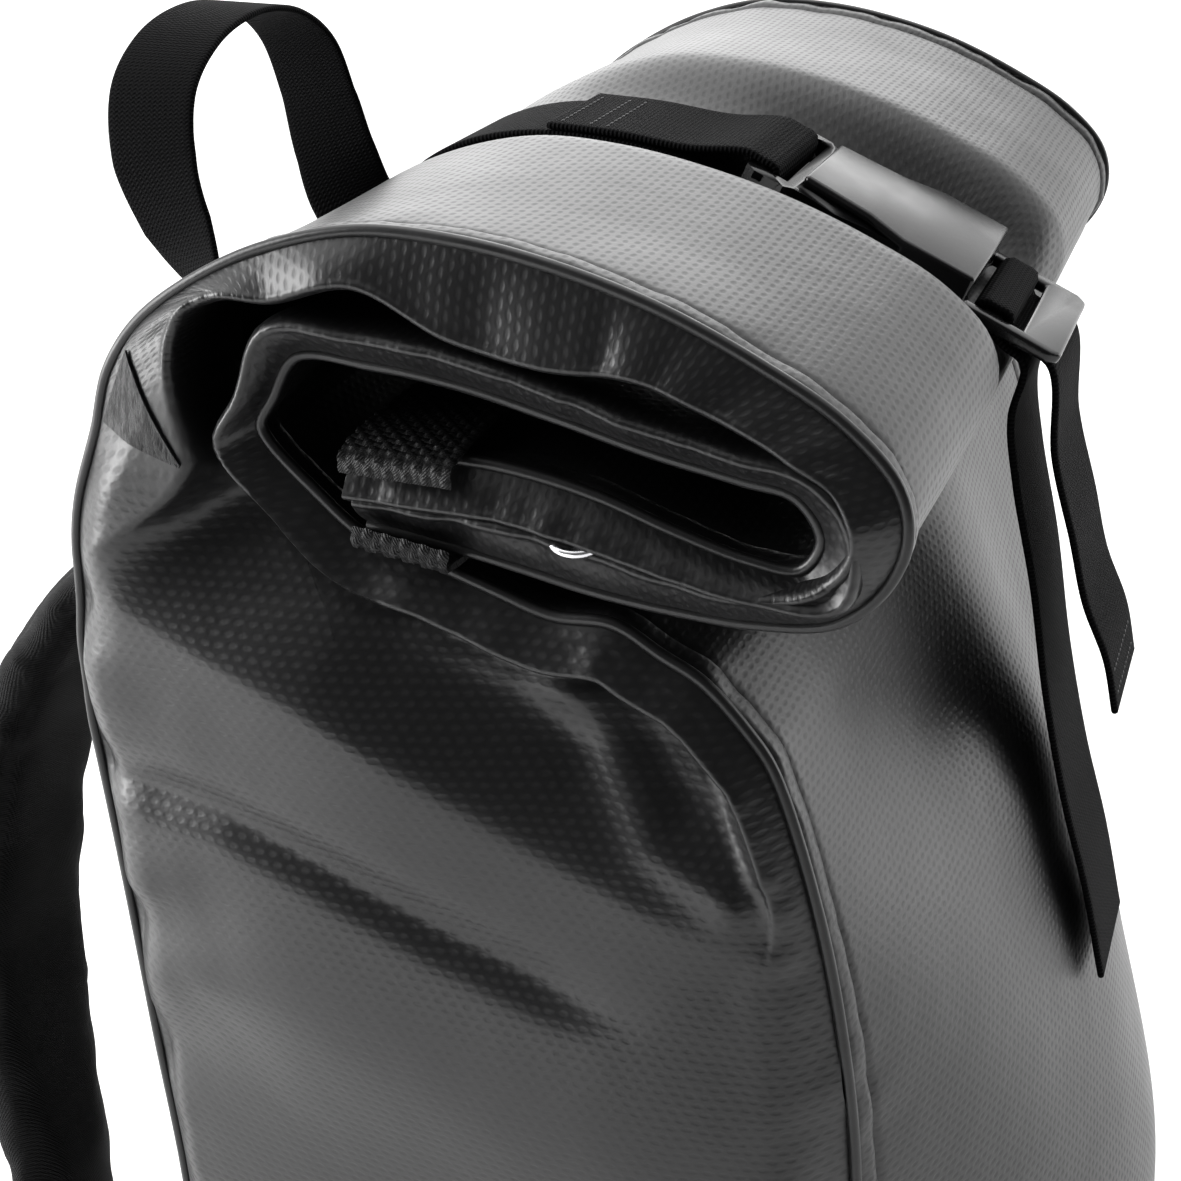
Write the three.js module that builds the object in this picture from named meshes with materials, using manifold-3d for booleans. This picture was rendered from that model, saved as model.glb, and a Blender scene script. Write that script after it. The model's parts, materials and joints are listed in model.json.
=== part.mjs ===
// Rolltop backpack with its mouth rolled down and buckled. Millimetres, +Z up.
// The front of the bag looks along -Y and the wearer's back is at +Y. The origin is under the middle of the base.
import * as THREE from "three";
import { mergeVertices } from "three/addons/utils/BufferGeometryUtils.js";
import Module from "manifold-3d";

// Driving sizes of the bag.
const bagWidth = 296;
const bagDepth = 180;
const bodyHeight = 422;
const rollHeight = 60;
const clothWall = 1.6;
const baseWall = 2.4;
const seamGap = 0.3;

// Seams and the gusset cloth that is folded into the roll.
const pipingDiameter = 3;
const seamInset = 7;
const gussetReach = 34;
const gussetRidge = 11;
const pleatRun = 18;
const foldStart = 0.55;
const pressMargin = 3;
const pressWidth = 34;

// Webbing, straps and hardware.
const closureWidth = 38;
const webbingWall = 1.8;
const mouthWebbingWidth = 21;
const haulWidth = 25;
const haulSpan = 84;
const haulRise = 82;
const haulLean = 38;
const lowerWidth = 25;
const lowerTail = 70;
const buckleLength = 88;
const buckleWidth = 48;
const buckleHeight = 12;
const buckleWall = 2.6;
const buckleFit = 0.4;
const barWidth = 5.5;
const slotWidth = 5;
const snapDiameter = 13;
const snapHeight = 1.5;
const patchWall = 1;

// Padded parts.
const padWidth = 236;
const padWall = 14;
const shoulderWidth = 64;
const shoulderWall = 13;
const shoulderTongue = 3;
const shoulderTop = 116;
const shoulderFoot = 208;
const shoulderReach = 262;
const shoulderStandOff = 76;
const adjusterWall = 3;

const pipingRadius = pipingDiameter / 2;
const seamX = bagWidth / 2 - seamInset;
const clothEdge = pipingRadius + seamGap;
const sideEdge = clothEdge + seamGap;

// Colours and finishes.
const tarpaulin = new THREE.MeshStandardMaterial({ color: 0x232426, roughness: 0.38, metalness: 0 });
const pipingCloth = new THREE.MeshStandardMaterial({ color: 0x1b1c1e, roughness: 0.42, metalness: 0 });
const webbing = new THREE.MeshStandardMaterial({ color: 0x17181a, roughness: 0.82, metalness: 0 });
const padCloth = new THREE.MeshStandardMaterial({ color: 0x1a1b1c, roughness: 0.9, metalness: 0 });
const plastic = new THREE.MeshStandardMaterial({ color: 0x141516, roughness: 0.3, metalness: 0 });
const nickel = new THREE.MeshStandardMaterial({ color: 0xb9bbbe, roughness: 0.22, metalness: 1 });

// The bag's side seen from its end, from the ground up to where the neck turns into the roll.
// frontY, backY, belly and crown are shares of bagDepth. Heights h run 0 to 1 up the body and 1 to 2 up the roll.
// belly is how far the middle of the front stands out, crown the same for the back, bulge that of the side,
// width narrows the bag's foot, and pleat is the share of gussetReach that the side is tucked in.
const sideColumns = ["frontY", "frontH", "belly", "backY", "backH", "crown", "bulge", "width", "pleat"];
const sideRows = [
  [-0.444, 0.0, 0.16, 0.444, 0.0, 0.02, 0.0, 0.94, 0.0],
  [-0.478, 0.071, 0.256, 0.456, 0.071, 0.03, 0.022, 0.985, 0.0],
  [-0.506, 0.213, 0.33, 0.461, 0.213, 0.033, 0.05, 1.0, 0.0],
  [-0.517, 0.379, 0.34, 0.472, 0.379, 0.033, 0.06, 1.0, 0.0],
  [-0.511, 0.545, 0.25, 0.483, 0.545, 0.03, 0.06, 1.0, 0.0],
  [-0.494, 0.685, 0.167, 0.5, 0.64, 0.025, 0.05, 1.0, 0.02],
  [-0.467, 0.763, 0.139, 0.511, 0.711, 0.02, 0.044, 1.0, 0.08],
  [-0.428, 0.836, 0.094, 0.522, 0.777, 0.015, 0.036, 1.0, 0.2],
  [-0.367, 0.912, 0.061, 0.533, 0.834, 0.01, 0.03, 1.0, 0.38],
  [-0.339, 0.929, 0.044, 0.539, 0.863, 0.01, 0.026, 1.0, 0.48],
  [-0.283, 0.953, 0.028, 0.539, 0.889, 0.005, 0.022, 1.0, 0.58],
  [-0.233, 0.964, 0.017, 0.539, 0.912, 0.0, 0.02, 1.0, 0.68],
  [-0.178, 0.976, 0.0, 0.533, 0.934, 0.0, 0.016, 1.0, 0.76],
  [-0.106, 0.983, 0.0, 0.53, 0.953, 0.0, 0.012, 1.0, 0.84],
  [-0.022, 0.993, 0.0, 0.528, 0.97, 0.0, 0.01, 1.0, 0.9],
  [0.044, 1.0, 0.0, 0.522, 0.986, 0.0, 0.008, 1.0, 0.94],
  [0.111, 1.067, 0.0, 0.511, 1.02, 0.0, 0.006, 1.0, 0.97],
  [0.178, 1.2, 0.0, 0.494, 1.15, 0.0, 0.004, 1.0, 1.0],
  [0.25, 1.383, 0.0, 0.478, 1.27, 0.0, 0.0, 1.0, 1.0],
];

// The two layers of the neck inside the roll, on from the side's last row to the hem of the mouth: y and h at the
// roll's ends, middleY and middleH where the closure strap presses it. fold is the height of the gusset's round
// fold beside the layer, as a share of gussetReach.
const layerColumns = ["y", "h", "middleY", "middleH", "fold"];
const frontLayerRows = [
  [0.261, 1.55, 0.261, 1.53, 0.13],
  [0.211, 1.7, 0.211, 1.66, 0.13],
  [0.111, 1.717, 0.111, 1.67, 0.13],
  [0.0, 1.692, 0.0, 1.617, 0.13],
  [-0.111, 1.65, -0.111, 1.517, 0.13],
  [-0.222, 1.583, -0.211, 1.425, 0.12],
  [-0.322, 1.517, -0.289, 1.35, 0.1],
  [-0.389, 1.45, -0.344, 1.292, 0.09],
  [-0.417, 1.35, -0.367, 1.242, 0.09],
  [-0.4, 1.233, -0.367, 1.158, 0.09],
  [-0.333, 1.2, -0.322, 1.142, 0.1],
  [-0.25, 1.25, -0.25, 1.175, 0.1],
  [-0.156, 1.317, -0.156, 1.25, 0.11],
  [-0.056, 1.35, -0.056, 1.317, 0.11],
  [0.056, 1.383, 0.056, 1.37, 0.11],
  [0.133, 1.417, 0.133, 1.41, 0.11],
];
const backLayerRows = [
  [0.444, 1.467, 0.444, 1.467, 0.21],
  [0.4, 1.65, 0.4, 1.65, 0.21],
  [0.322, 1.833, 0.322, 1.825, 0.21],
  [0.222, 1.95, 0.222, 1.917, 0.21],
  [0.1, 2.0, 0.1, 1.925, 0.21],
  [-0.022, 1.983, -0.022, 1.867, 0.21],
  [-0.144, 1.917, -0.144, 1.7, 0.2],
  [-0.256, 1.858, -0.244, 1.558, 0.2],
  [-0.344, 1.75, -0.317, 1.458, 0.19],
  [-0.422, 1.617, -0.378, 1.383, 0.17],
  [-0.472, 1.467, -0.439, 1.308, 0.16],
  [-0.489, 1.317, -0.472, 1.2, 0.14],
  [-0.472, 1.15, -0.467, 1.083, 0.14],
  [-0.422, 1.033, -0.422, 1.017, 0.14],
  [-0.344, 1.0, -0.344, 1.0, 0.14],
  [-0.25, 1.033, -0.25, 1.033, 0.14],
  [-0.156, 1.1, -0.156, 1.1, 0.14],
  [-0.067, 1.15, -0.067, 1.15, 0.14],
  [0.028, 1.183, 0.028, 1.183, 0.14],
  [0.122, 1.233, 0.122, 1.233, 0.14],
];

// The long folds of the side cloth: each runs from one point to another, y and h as above, and stands out or,
// where height is below zero, sinks in. height and halfWidth are shares of bagDepth.
const sideFoldColumns = ["y1", "h1", "y2", "h2", "height", "halfWidth"];
const sideFolds = [
  [0.45, 0.96, -0.17, 0.79, -0.05, 0.075],
  [0.5, 0.85, -0.16, 0.777, 0.035, 0.06],
  [0.48, 0.74, -0.1, 0.71, -0.025, 0.07],
  [-0.3, 0.86, -0.38, 0.74, -0.03, 0.05],
  [0.46, 0.62, 0.2, 0.5, -0.018, 0.09],
];

// Dents of the front cloth: x as a share of bagWidth, h as above, depth and half sizes as shares of bagDepth.
const frontDentColumns = ["x", "h", "depth", "halfWidth", "halfHeight"];
const frontDents = [
  [-0.3, 0.84, 0.05, 0.2, 0.12],
  [0.3, 0.84, 0.05, 0.2, 0.12],
  [-0.12, 0.78, 0.03, 0.12, 0.2],
  [0.12, 0.78, 0.03, 0.12, 0.2],
  [0.0, 0.3, 0.02, 0.7, 0.08],
];

const named = (columns, rows) =>
  rows.map((row) => Object.fromEntries(columns.map((name, k) => [name, row[k]])));
const side = named(sideColumns, sideRows);
const frontLayer = named(layerColumns, frontLayerRows);
const backLayer = named(layerColumns, backLayerRows);
const folds = named(sideFoldColumns, sideFolds);
const dents = named(frontDentColumns, frontDents);

// Where the front panel ends and the inner roll layer starts, and the back panel's and outer layer's like place.
const frontSplit = 8;
const backSplit = 6;
const sideTop = side.length - 1;

const smooth = (low, high, value) => THREE.MathUtils.smoothstep(value, low, high);
const lerp = THREE.MathUtils.lerp;
const footHeight = baseWall + seamGap + clothWall / 2;
const heightAt = (h) => (h <= 1 ? lerp(footHeight, bodyHeight, h) : bodyHeight + (h - 1) * rollHeight);

// A value of a table's column between two of its rows.
function columnAt(rows, name, index) {
  const low = Math.min(Math.max(Math.floor(index), 0), rows.length - 2);
  return lerp(rows[low][name], rows[low + 1][name], index - low);
}

// A smooth line in the plane of the bag's side, whose whole numbers are the rows of the tables.
function lineThrough(points) {
  const curve = new THREE.CatmullRomCurve3(points, false, "centripetal");
  const last = points.length - 1;
  const at = (index) => curve.getPoint(THREE.MathUtils.clamp(index / last, 0, 1));
  const step = 0.02;
  const tangent = (index) => at(Math.min(index + step, last)).sub(at(Math.max(index - step, 0))).normalize();
  return { at, tangent, last };
}

const sidePoint = (y, h) => new THREE.Vector3(0, y * bagDepth, heightAt(h));
const frontSeam = lineThrough([
  ...side.map((row) => sidePoint(row.frontY, row.frontH)),
  ...frontLayer.map((row) => sidePoint(row.y, row.h)),
]);
const frontMiddle = lineThrough([
  ...side.map((row) => sidePoint(row.frontY - row.belly, row.frontH)),
  ...frontLayer.map((row) => sidePoint(row.middleY, row.middleH)),
]);
const backSeam = lineThrough([
  ...side.map((row) => sidePoint(row.backY, row.backH)),
  ...backLayer.map((row) => sidePoint(row.y, row.h)),
]);
const backMiddle = lineThrough([
  ...side.map((row) => sidePoint(row.backY + row.crown, row.backH)),
  ...backLayer.map((row) => sidePoint(row.middleY, row.middleH)),
]);

// The direction out of the bag, square to a line of the front or of the back. All the lines run up from the ground.
const frontOut = (line, index) => {
  const t = line.tangent(index);
  return new THREE.Vector3(0, -t.z, t.y);
};
const backOut = (line, index) => frontOut(line, index).negate();

const seamWidthAt = (index) => seamX * (index < sideTop ? columnAt(side, "width", index) : 1);
const foldAt = (rows, index) => gussetReach * columnAt(rows, "fold", Math.max(index - sideTop - 1, 0));

// How much of the middle line a place across the bag follows: a full curve on the body, a flat press in the roll.
function middleShare(x, reach, index) {
  const onBody = 1 - Math.abs(x / reach) ** 2.3;
  const inRoll = 1 - smooth(closureWidth / 2 + pressMargin, closureWidth / 2 + pressWidth, Math.abs(x));
  return lerp(onBody, inRoll, smooth(sideTop - 4, sideTop, index));
}

function clothPoint(seam, middle, index, share) {
  const reach = seamWidthAt(index);
  const x = share * (reach - clothEdge);
  return seam.at(index).lerp(middle.at(index), middleShare(x, reach, index)).setX(x);
}

function frontPoint(index, share) {
  const point = clothPoint(frontSeam, frontMiddle, index, share);
  if (index > frontSplit + 2) return point;
  const h = columnAt(side, "frontH", index);
  for (const dent of dents) {
    const across = (point.x / bagWidth - dent.x) / dent.halfWidth;
    const up = (h - dent.h) / dent.halfHeight;
    point.y += bagDepth * dent.depth * Math.exp(-across * across - up * up) * (1 - share ** 4);
  }
  return point;
}

const backPoint = (index, share) => clothPoint(backSeam, backMiddle, index, share);

// A body of triangles from points and faces, turned so that its faces look out.
function bodyOf(points, faces) {
  const positions = new Float32Array(points.flatMap((p) => [p.x, p.y, p.z]));
  const volume = faces.reduce((sum, [a, b, c]) => {
    const normal = new THREE.Vector3().crossVectors(points[b], points[c]);
    return sum + points[a].dot(normal);
  }, 0);
  const turned = volume < 0 ? faces.map(([a, b, c]) => [a, c, b]) : faces;
  const geometry = new THREE.BufferGeometry();
  geometry.setAttribute("position", new THREE.BufferAttribute(positions, 3));
  geometry.setIndex(turned.flat());
  geometry.computeVertexNormals();
  return geometry;
}

// A sheet: a grid of points on its middle surface, thickened to both sides and closed round its edge.
// wall is a thickness, or a function of the shares along the rows and the columns.
function sheetOf(rows, columns, pointAt, wall) {
  const wallAt = typeof wall === "function" ? wall : () => wall;
  const middle = [];
  for (let i = 0; i <= rows; i++)
    for (let j = 0; j <= columns; j++) middle.push(pointAt(i / rows, j / columns, i, j));
  const at = (i, j) => middle[Math.min(Math.max(i, 0), rows) * (columns + 1) + Math.min(Math.max(j, 0), columns)];
  const points = [];
  for (const face of [1, -1])
    for (let i = 0; i <= rows; i++)
      for (let j = 0; j <= columns; j++) {
        const along = at(i + 1, j).clone().sub(at(i - 1, j)).normalize();
        const across = at(i, j + 1).clone().sub(at(i, j - 1)).normalize();
        const normal = along.cross(across).normalize();
        points.push(at(i, j).clone().addScaledVector(normal, (face * wallAt(i / rows, j / columns)) / 2));
      }
  const back = (rows + 1) * (columns + 1);
  const id = (i, j, side) => side * back + i * (columns + 1) + j;
  const faces = [];
  const quad = (a, b, c, d) => faces.push([a, b, c], [a, c, d]);
  for (let i = 0; i < rows; i++)
    for (let j = 0; j < columns; j++) {
      quad(id(i, j, 0), id(i + 1, j, 0), id(i + 1, j + 1, 0), id(i, j + 1, 0));
      quad(id(i, j, 1), id(i, j + 1, 1), id(i + 1, j + 1, 1), id(i + 1, j, 1));
    }
  for (let i = 0; i < rows; i++) {
    quad(id(i, 0, 0), id(i, 0, 1), id(i + 1, 0, 1), id(i + 1, 0, 0));
    quad(id(i + 1, columns, 0), id(i + 1, columns, 1), id(i, columns, 1), id(i, columns, 0));
  }
  for (let j = 0; j < columns; j++) {
    quad(id(0, j + 1, 0), id(0, j + 1, 1), id(0, j, 1), id(0, j, 0));
    quad(id(rows, j, 0), id(rows, j, 1), id(rows, j + 1, 1), id(rows, j + 1, 0));
  }
  return bodyOf(points, faces);
}

// The rows of a piece that runs from one place of a seam line to another: each row of the tables, so that pieces
// that meet along a seam bend together.
function rowsBetween(from, to) {
  const rows = [from];
  for (let index = 0; index < to - 0.01; index++) if (index > from + 0.1) rows.push(index);
  return [...rows, to];
}
const afterGap = (seam, index) => index + seamGap / seam.at(index).distanceTo(seam.at(index + 1));

// Shares across the bag at which the cloth has its columns, with one at each edge of the strap's press.
const pressEdge = (closureWidth / 2 + pressMargin) / seamX;
const clothShares = [-1, -0.82, -0.6, -0.38, -pressEdge, 0, pressEdge, 0.38, 0.6, 0.82, 1];

function clothOf(from, to, seam, pointAt) {
  const rows = rowsBetween(from > 0 ? afterGap(seam, from) : from, to);
  return sheetOf(rows.length - 1, clothShares.length - 1, (v, u, i, j) => pointAt(rows[i], clothShares[j]), clothWall);
}

const sideSteps = 13;
function sideCloth(hand) {
  const rows = rowsBetween(0, sideTop);
  return sheetOf(rows.length - 1, sideSteps, (v, u, i) => sideClothPoint(hand, rows[i], u), clothWall);
}

// How far the side cloth stands out at a place, from its long folds.
function foldRelief(y, z) {
  let relief = 0;
  const from = new THREE.Vector2();
  const to = new THREE.Vector2();
  const place = new THREE.Vector2(y, z);
  for (const fold of folds) {
    from.set(fold.y1 * bagDepth, heightAt(fold.h1));
    to.set(fold.y2 * bagDepth, heightAt(fold.h2));
    const run = to.clone().sub(from);
    const share = THREE.MathUtils.clamp(place.clone().sub(from).dot(run) / run.lengthSq(), 0, 1);
    const distance = place.distanceTo(from.clone().addScaledVector(run, share));
    relief += fold.height * bagDepth * Math.exp(-((distance / (fold.halfWidth * bagDepth)) ** 2));
  }
  return relief;
}

// A point of the side cloth, on the side given by 1 or -1: share 0 lies at the front seam and 1 at the back one.
function sideClothPoint(hand, index, share) {
  const front = frontSeam.at(index);
  const back = backSeam.at(index);
  const span = front.distanceTo(back);
  const fromFront = lerp(sideEdge, span - sideEdge, share);
  const place = front.lerp(back, fromFront / span);
  const fromBack = span - fromFront;
  const edge = Math.sqrt(smooth(0, gussetRidge, Math.min(fromFront, fromBack)));
  const bulge = bagDepth * columnAt(side, "bulge", index) * Math.sin(Math.PI * share);
  const tuck = smooth(gussetRidge, gussetRidge + pleatRun, fromFront) * smooth(pipingDiameter, pleatRun, fromBack);
  const inward = gussetReach * columnAt(side, "pleat", index) * tuck;
  const relief = foldRelief(place.y, place.z) * edge * smooth(0, 2, index);
  return place.setX(hand * (seamWidthAt(index) + seamInset * edge + bulge - inward + relief));
}

// The gusset's round fold beside a layer in the roll: out from the seam, round, and back under the layer.
const foldSection = [
  [clothEdge - seamInset, 0],
  [-1.6, 0.08],
  [0, 0.5],
  [-1.6, 0.92],
  [-0.35 * gussetReach, 1],
  [-gussetReach, 0.9],
];
function gussetFold(hand, seam, out, rows) {
  const rowsAlong = rowsBetween(sideTop + foldStart, seam.last);
  return sheetOf(rowsAlong.length - 1, foldSection.length - 1, (v, u, i, j) => {
    const index = rowsAlong[i];
    const [fromEdge, depth] = foldSection[j];
    const point = seam.at(index).setX(hand * (bagWidth / 2 + fromEdge));
    return point.addScaledVector(out(seam, index), -depth * foldAt(rows, index));
  }, clothWall);
}

// A path through points in order, whose steps are the points themselves.
class PointPath extends THREE.Curve {
  constructor(points) {
    super();
    this.points = points;
  }
  getPoint(t) {
    const place = t * (this.points.length - 1);
    const low = Math.min(Math.floor(place), this.points.length - 2);
    return this.points[low].clone().lerp(this.points[low + 1], place - low);
  }
  getPointAt(t) {
    return this.getPoint(t);
  }
  getTangentAt(t) {
    const step = 0.5 / (this.points.length - 1);
    return this.getPoint(Math.min(t + step, 1)).sub(this.getPoint(Math.max(t - step, 0))).normalize();
  }
}

function cordOf(points, radius, sides) {
  const section = new THREE.Shape();
  for (let k = 0; k < sides; k++) {
    const angle = (2 * Math.PI * k) / sides;
    const place = [radius * Math.cos(angle), radius * Math.sin(angle)];
    if (k === 0) section.moveTo(...place);
    else section.lineTo(...place);
  }
  section.closePath();
  return new THREE.ExtrudeGeometry(section, {
    steps: points.length - 1,
    extrudePath: new PointPath(points),
    bevelEnabled: false,
  });
}

function pipingOf(hand, seam) {
  const points = [];
  for (const index of rowsBetween(0, seam.last)) points.push(seam.at(index).setX(hand * seamWidthAt(index)));
  points[0].z += seamGap;
  return cordOf(points, pipingRadius, 5);
}

// A flat strap along a path, with the direction of its width at each point.
function strapOf(points, widthAt, width, wall, columns = 1) {
  return sheetOf(points.length - 1, columns, (v, u, i) =>
    points[i].clone().addScaledVector(widthAt(v), (u - 0.5) * width), wall);
}
const acrossX = () => new THREE.Vector3(1, 0, 0);
const yz = (y, z) => new THREE.Vector3(0, y, z);

// manifold-3d joins and cuts the moulded pieces.
const wasm = await Module();
wasm.setup();
function solidOf(geometry, matrix = new THREE.Matrix4()) {
  const bare = new THREE.BufferGeometry();
  bare.setAttribute("position", geometry.getAttribute("position").clone());
  if (geometry.index) bare.setIndex(geometry.index);
  bare.applyMatrix4(matrix);
  const merged = mergeVertices(bare, 1e-4);
  return new wasm.Manifold(new wasm.Mesh({
    numProp: 3,
    vertProperties: merged.attributes.position.array,
    triVerts: new Uint32Array(merged.index.array),
  }));
}
function geometryOf(solid) {
  const mesh = solid.getMesh();
  const geometry = new THREE.BufferGeometry();
  geometry.setAttribute("position", new THREE.BufferAttribute(new Float32Array(mesh.vertProperties), 3));
  geometry.setIndex(new THREE.BufferAttribute(new Uint32Array(mesh.triVerts), 1));
  geometry.computeVertexNormals();
  return geometry;
}
const block = (sizeX, sizeY, sizeZ, x, y, z) =>
  solidOf(new THREE.BoxGeometry(sizeX, sizeY, sizeZ), new THREE.Matrix4().makeTranslation(x, y, z));

const bag = new THREE.Group();
bag.name = "rolltop_backpack";
function add(name, geometry, material, parent = bag) {
  const mesh = new THREE.Mesh(geometry, material);
  mesh.name = name;
  parent.add(mesh);
  return mesh;
}
const hands = [
  ["left", -1],
  ["right", 1],
];

// The cloth of the body and of the roll.
add("front_panel", clothOf(0, frontSplit, frontSeam, frontPoint), tarpaulin);
add("roll_inner_layer", clothOf(frontSplit, frontSeam.last, frontSeam, frontPoint), tarpaulin);
add("back_panel", clothOf(0, backSplit, backSeam, backPoint), tarpaulin);
add("roll_outer_layer", clothOf(backSplit, backSeam.last, backSeam, backPoint), tarpaulin);
for (const [word, hand] of hands) {
  add("side_panel_" + word, sideCloth(hand), tarpaulin);
  add("gusset_fold_front_" + word, gussetFold(hand, frontSeam, frontOut, frontLayer), tarpaulin);
  add("gusset_fold_back_" + word, gussetFold(hand, backSeam, backOut, backLayer), tarpaulin);
  add("piping_front_" + word, pipingOf(hand, frontSeam), pipingCloth);
  add("piping_back_" + word, pipingOf(hand, backSeam), pipingCloth);
}

// The base is cut to the outline of the walls that stand on it.
function baseOutline() {
  const outline = [];
  const steps = 12;
  for (let k = 0; k <= steps; k++) outline.push(frontPoint(0, lerp(-1, 1, k / steps)));
  for (let k = 0; k <= steps; k++) outline.push(sideClothPoint(1, 0, k / steps));
  for (let k = 0; k <= steps; k++) outline.push(backPoint(0, lerp(1, -1, k / steps)));
  for (let k = 0; k <= steps; k++) outline.push(sideClothPoint(-1, 0, 1 - k / steps));
  return outline.map((p) => {
    const reach = Math.hypot(p.x, p.y);
    const grown = (reach + clothWall) / reach;
    return new THREE.Vector2(p.x * grown, p.y * grown);
  });
}
add("base_panel", new THREE.ExtrudeGeometry(new THREE.Shape(baseOutline()), { depth: baseWall, bevelEnabled: false }), tarpaulin);

// Webbing along the hem of the mouth, outside each layer and round the gusset's fold at both ends.
function mouthWebbing(seam, out, rows, from) {
  const last = seam.last - 0.04;
  const depth = foldAt(rows, last);
  const off = pipingRadius + seamGap + webbingWall / 2;
  const round = clothWall / 2 + seamGap + webbingWall / 2;
  const half = bagWidth / 2;
  const end = [
    [half + round, -depth / 2],
    [half + round, off / 3],
    [half - seamInset / 2, off],
    [half / 3, off],
  ];
  const section = [...end.map(([x, n]) => [-x, n]), ...end.reverse()];
  const indexes = [lerp(last, from, 1), lerp(last, from, 0.5), last];
  return sheetOf(2, section.length - 1, (v, u, i, j) => {
    const [x, n] = section[j];
    return seam.at(indexes[i]).setX(x).addScaledVector(out(seam, indexes[i]), n);
  }, webbingWall);
}
const hemStep = frontSeam.at(frontSeam.last - 1).distanceTo(frontSeam.at(frontSeam.last));
const hemStart = mouthWebbingWidth / hemStep;
add("mouth_webbing_front", mouthWebbing(frontSeam, frontOut, frontLayer, frontSeam.last - hemStart), webbing);
add("mouth_webbing_back", mouthWebbing(backSeam, backOut, backLayer, backSeam.last - hemStart), webbing);

// A snap at each end of the mouth lies on the back layer's gusset fold.
const snapFromHem = 2.85;
const snapRow = backSeam.last - snapFromHem;
for (const [word, hand] of hands) {
  const depth = foldAt(backLayer, snapRow) + clothWall / 2 + seamGap + snapHeight / 2;
  const place = backSeam.at(snapRow).addScaledVector(backOut(backSeam, snapRow), -depth);
  const slope = backSeam.tangent(snapRow);
  const snap = add("mouth_snap_" + word, new THREE.CylinderGeometry(snapDiameter / 2 - snapHeight / 2, snapDiameter / 2, snapHeight, 16), nickel);
  snap.rotation.x = Math.PI / 2 + Math.atan2(slope.z, slope.y);
  snap.position.set(hand * (bagWidth / 2 - seamInset / 4 - snapDiameter / 2), place.y, place.z);
}

// A patch sewn over each top back corner of the side, on the same rows and steps as the cloth under it.
function cornerPatch(hand) {
  const rows = [14, 15, 16, 17];
  const steps = [9, 10, 11, 12];
  const lift = clothWall / 2 + seamGap + patchWall / 2;
  const at = (row, step) => sideClothPoint(hand, row, step / sideSteps);
  return sheetOf(rows.length - 1, steps.length - 1, (v, u, i, j) => {
    const up = at(rows[i] + 1, steps[j]).sub(at(rows[i] - 1, steps[j]));
    const back = at(rows[i], steps[j] + 1).sub(at(rows[i], steps[j] - 1));
    return at(rows[i], steps[j]).addScaledVector(back.cross(up).normalize(), lift * hand);
  }, patchWall);
}
for (const [word, hand] of hands) add("corner_patch_" + word, cornerPatch(hand), tarpaulin);

// The buckle lies in a frame of its own: y runs along it to the male half, z out of the bag.
const strapLift = clothWall / 2 + seamGap + webbingWall / 2;
const buckleFrom = backMiddle.at(sideTop + 7);
const buckleTo = backMiddle.at(sideTop + 11);
const buckleAlong = buckleFrom.clone().sub(buckleTo).normalize();
const buckleOut = new THREE.Vector3(0, -buckleAlong.z, buckleAlong.y);
const buckleSeat = clothWall / 2 + seamGap + buckleHeight / 2 + 0.9;
const buckleMiddle = buckleFrom.clone().lerp(buckleTo, 0.6).addScaledVector(buckleOut, buckleSeat);
const buckle = new THREE.Group();
buckle.position.copy(buckleMiddle);
buckle.rotation.x = Math.atan2(buckleAlong.z, buckleAlong.y);
bag.add(buckle);
const inBuckle = (along, out) =>
  buckleMiddle.clone().addScaledVector(buckleAlong, along).addScaledVector(buckleOut, out);

// A flat plate from an outline in the buckle's plane.
function plateOf(outline, low, high) {
  const shape = new THREE.Shape(outline.map(([x, y]) => new THREE.Vector2(x, y)));
  const plate = new THREE.ExtrudeGeometry(shape, { depth: high - low, bevelEnabled: false });
  return solidOf(plate, new THREE.Matrix4().makeTranslation(0, 0, low));
}
const mirrored = (half) => [...half, ...half.map(([x, y]) => [-x, y]).reverse()];
const halfLength = buckleLength / 2;
const halfWidth = buckleWidth / 2;
const halfHeight = buckleHeight / 2;
const strapSlot = closureWidth + 2 * buckleFit;
const maleStart = halfLength - slotWidth - barWidth - buckleWall;
const bodyEnd = -halfLength + 2 * (slotWidth + barWidth) + barWidth;
const windowEnd = 2;
const ladderLow = -0.62 * halfHeight;
const ladderHigh = -0.1 * halfHeight;

function buckleFemale() {
  const cover = mirrored([
    [0.72 * halfWidth, maleStart - buckleFit],
    [0.8 * halfWidth, 0.4 * maleStart],
    [halfWidth, windowEnd],
    [halfWidth, bodyEnd],
  ]);
  const ladder = mirrored([
    [halfWidth, bodyEnd + buckleWall],
    [halfWidth, -halfLength + buckleWall],
    [halfWidth - buckleWall, -halfLength],
  ]);
  let solid = plateOf(cover, halfHeight - buckleWall, halfHeight).add(plateOf(cover, -halfHeight, buckleWall - halfHeight));
  const wallLength = windowEnd - bodyEnd;
  for (const hand of [1, -1])
    solid = solid.add(block(buckleWall, wallLength, buckleHeight, hand * (halfWidth - buckleWall / 2), bodyEnd + wallLength / 2, 0));
  solid = solid.add(block(buckleWidth, buckleWall, buckleHeight, 0, bodyEnd + buckleWall / 2, 0));
  solid = solid.add(plateOf(ladder, ladderLow, ladderHigh));
  for (const slot of [1, 2])
    solid = solid.subtract(block(strapSlot, slotWidth, buckleHeight, 0, bodyEnd - slotWidth / 2 - (slot - 1) * (slotWidth + barWidth), 0));
  return geometryOf(solid);
}

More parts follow.
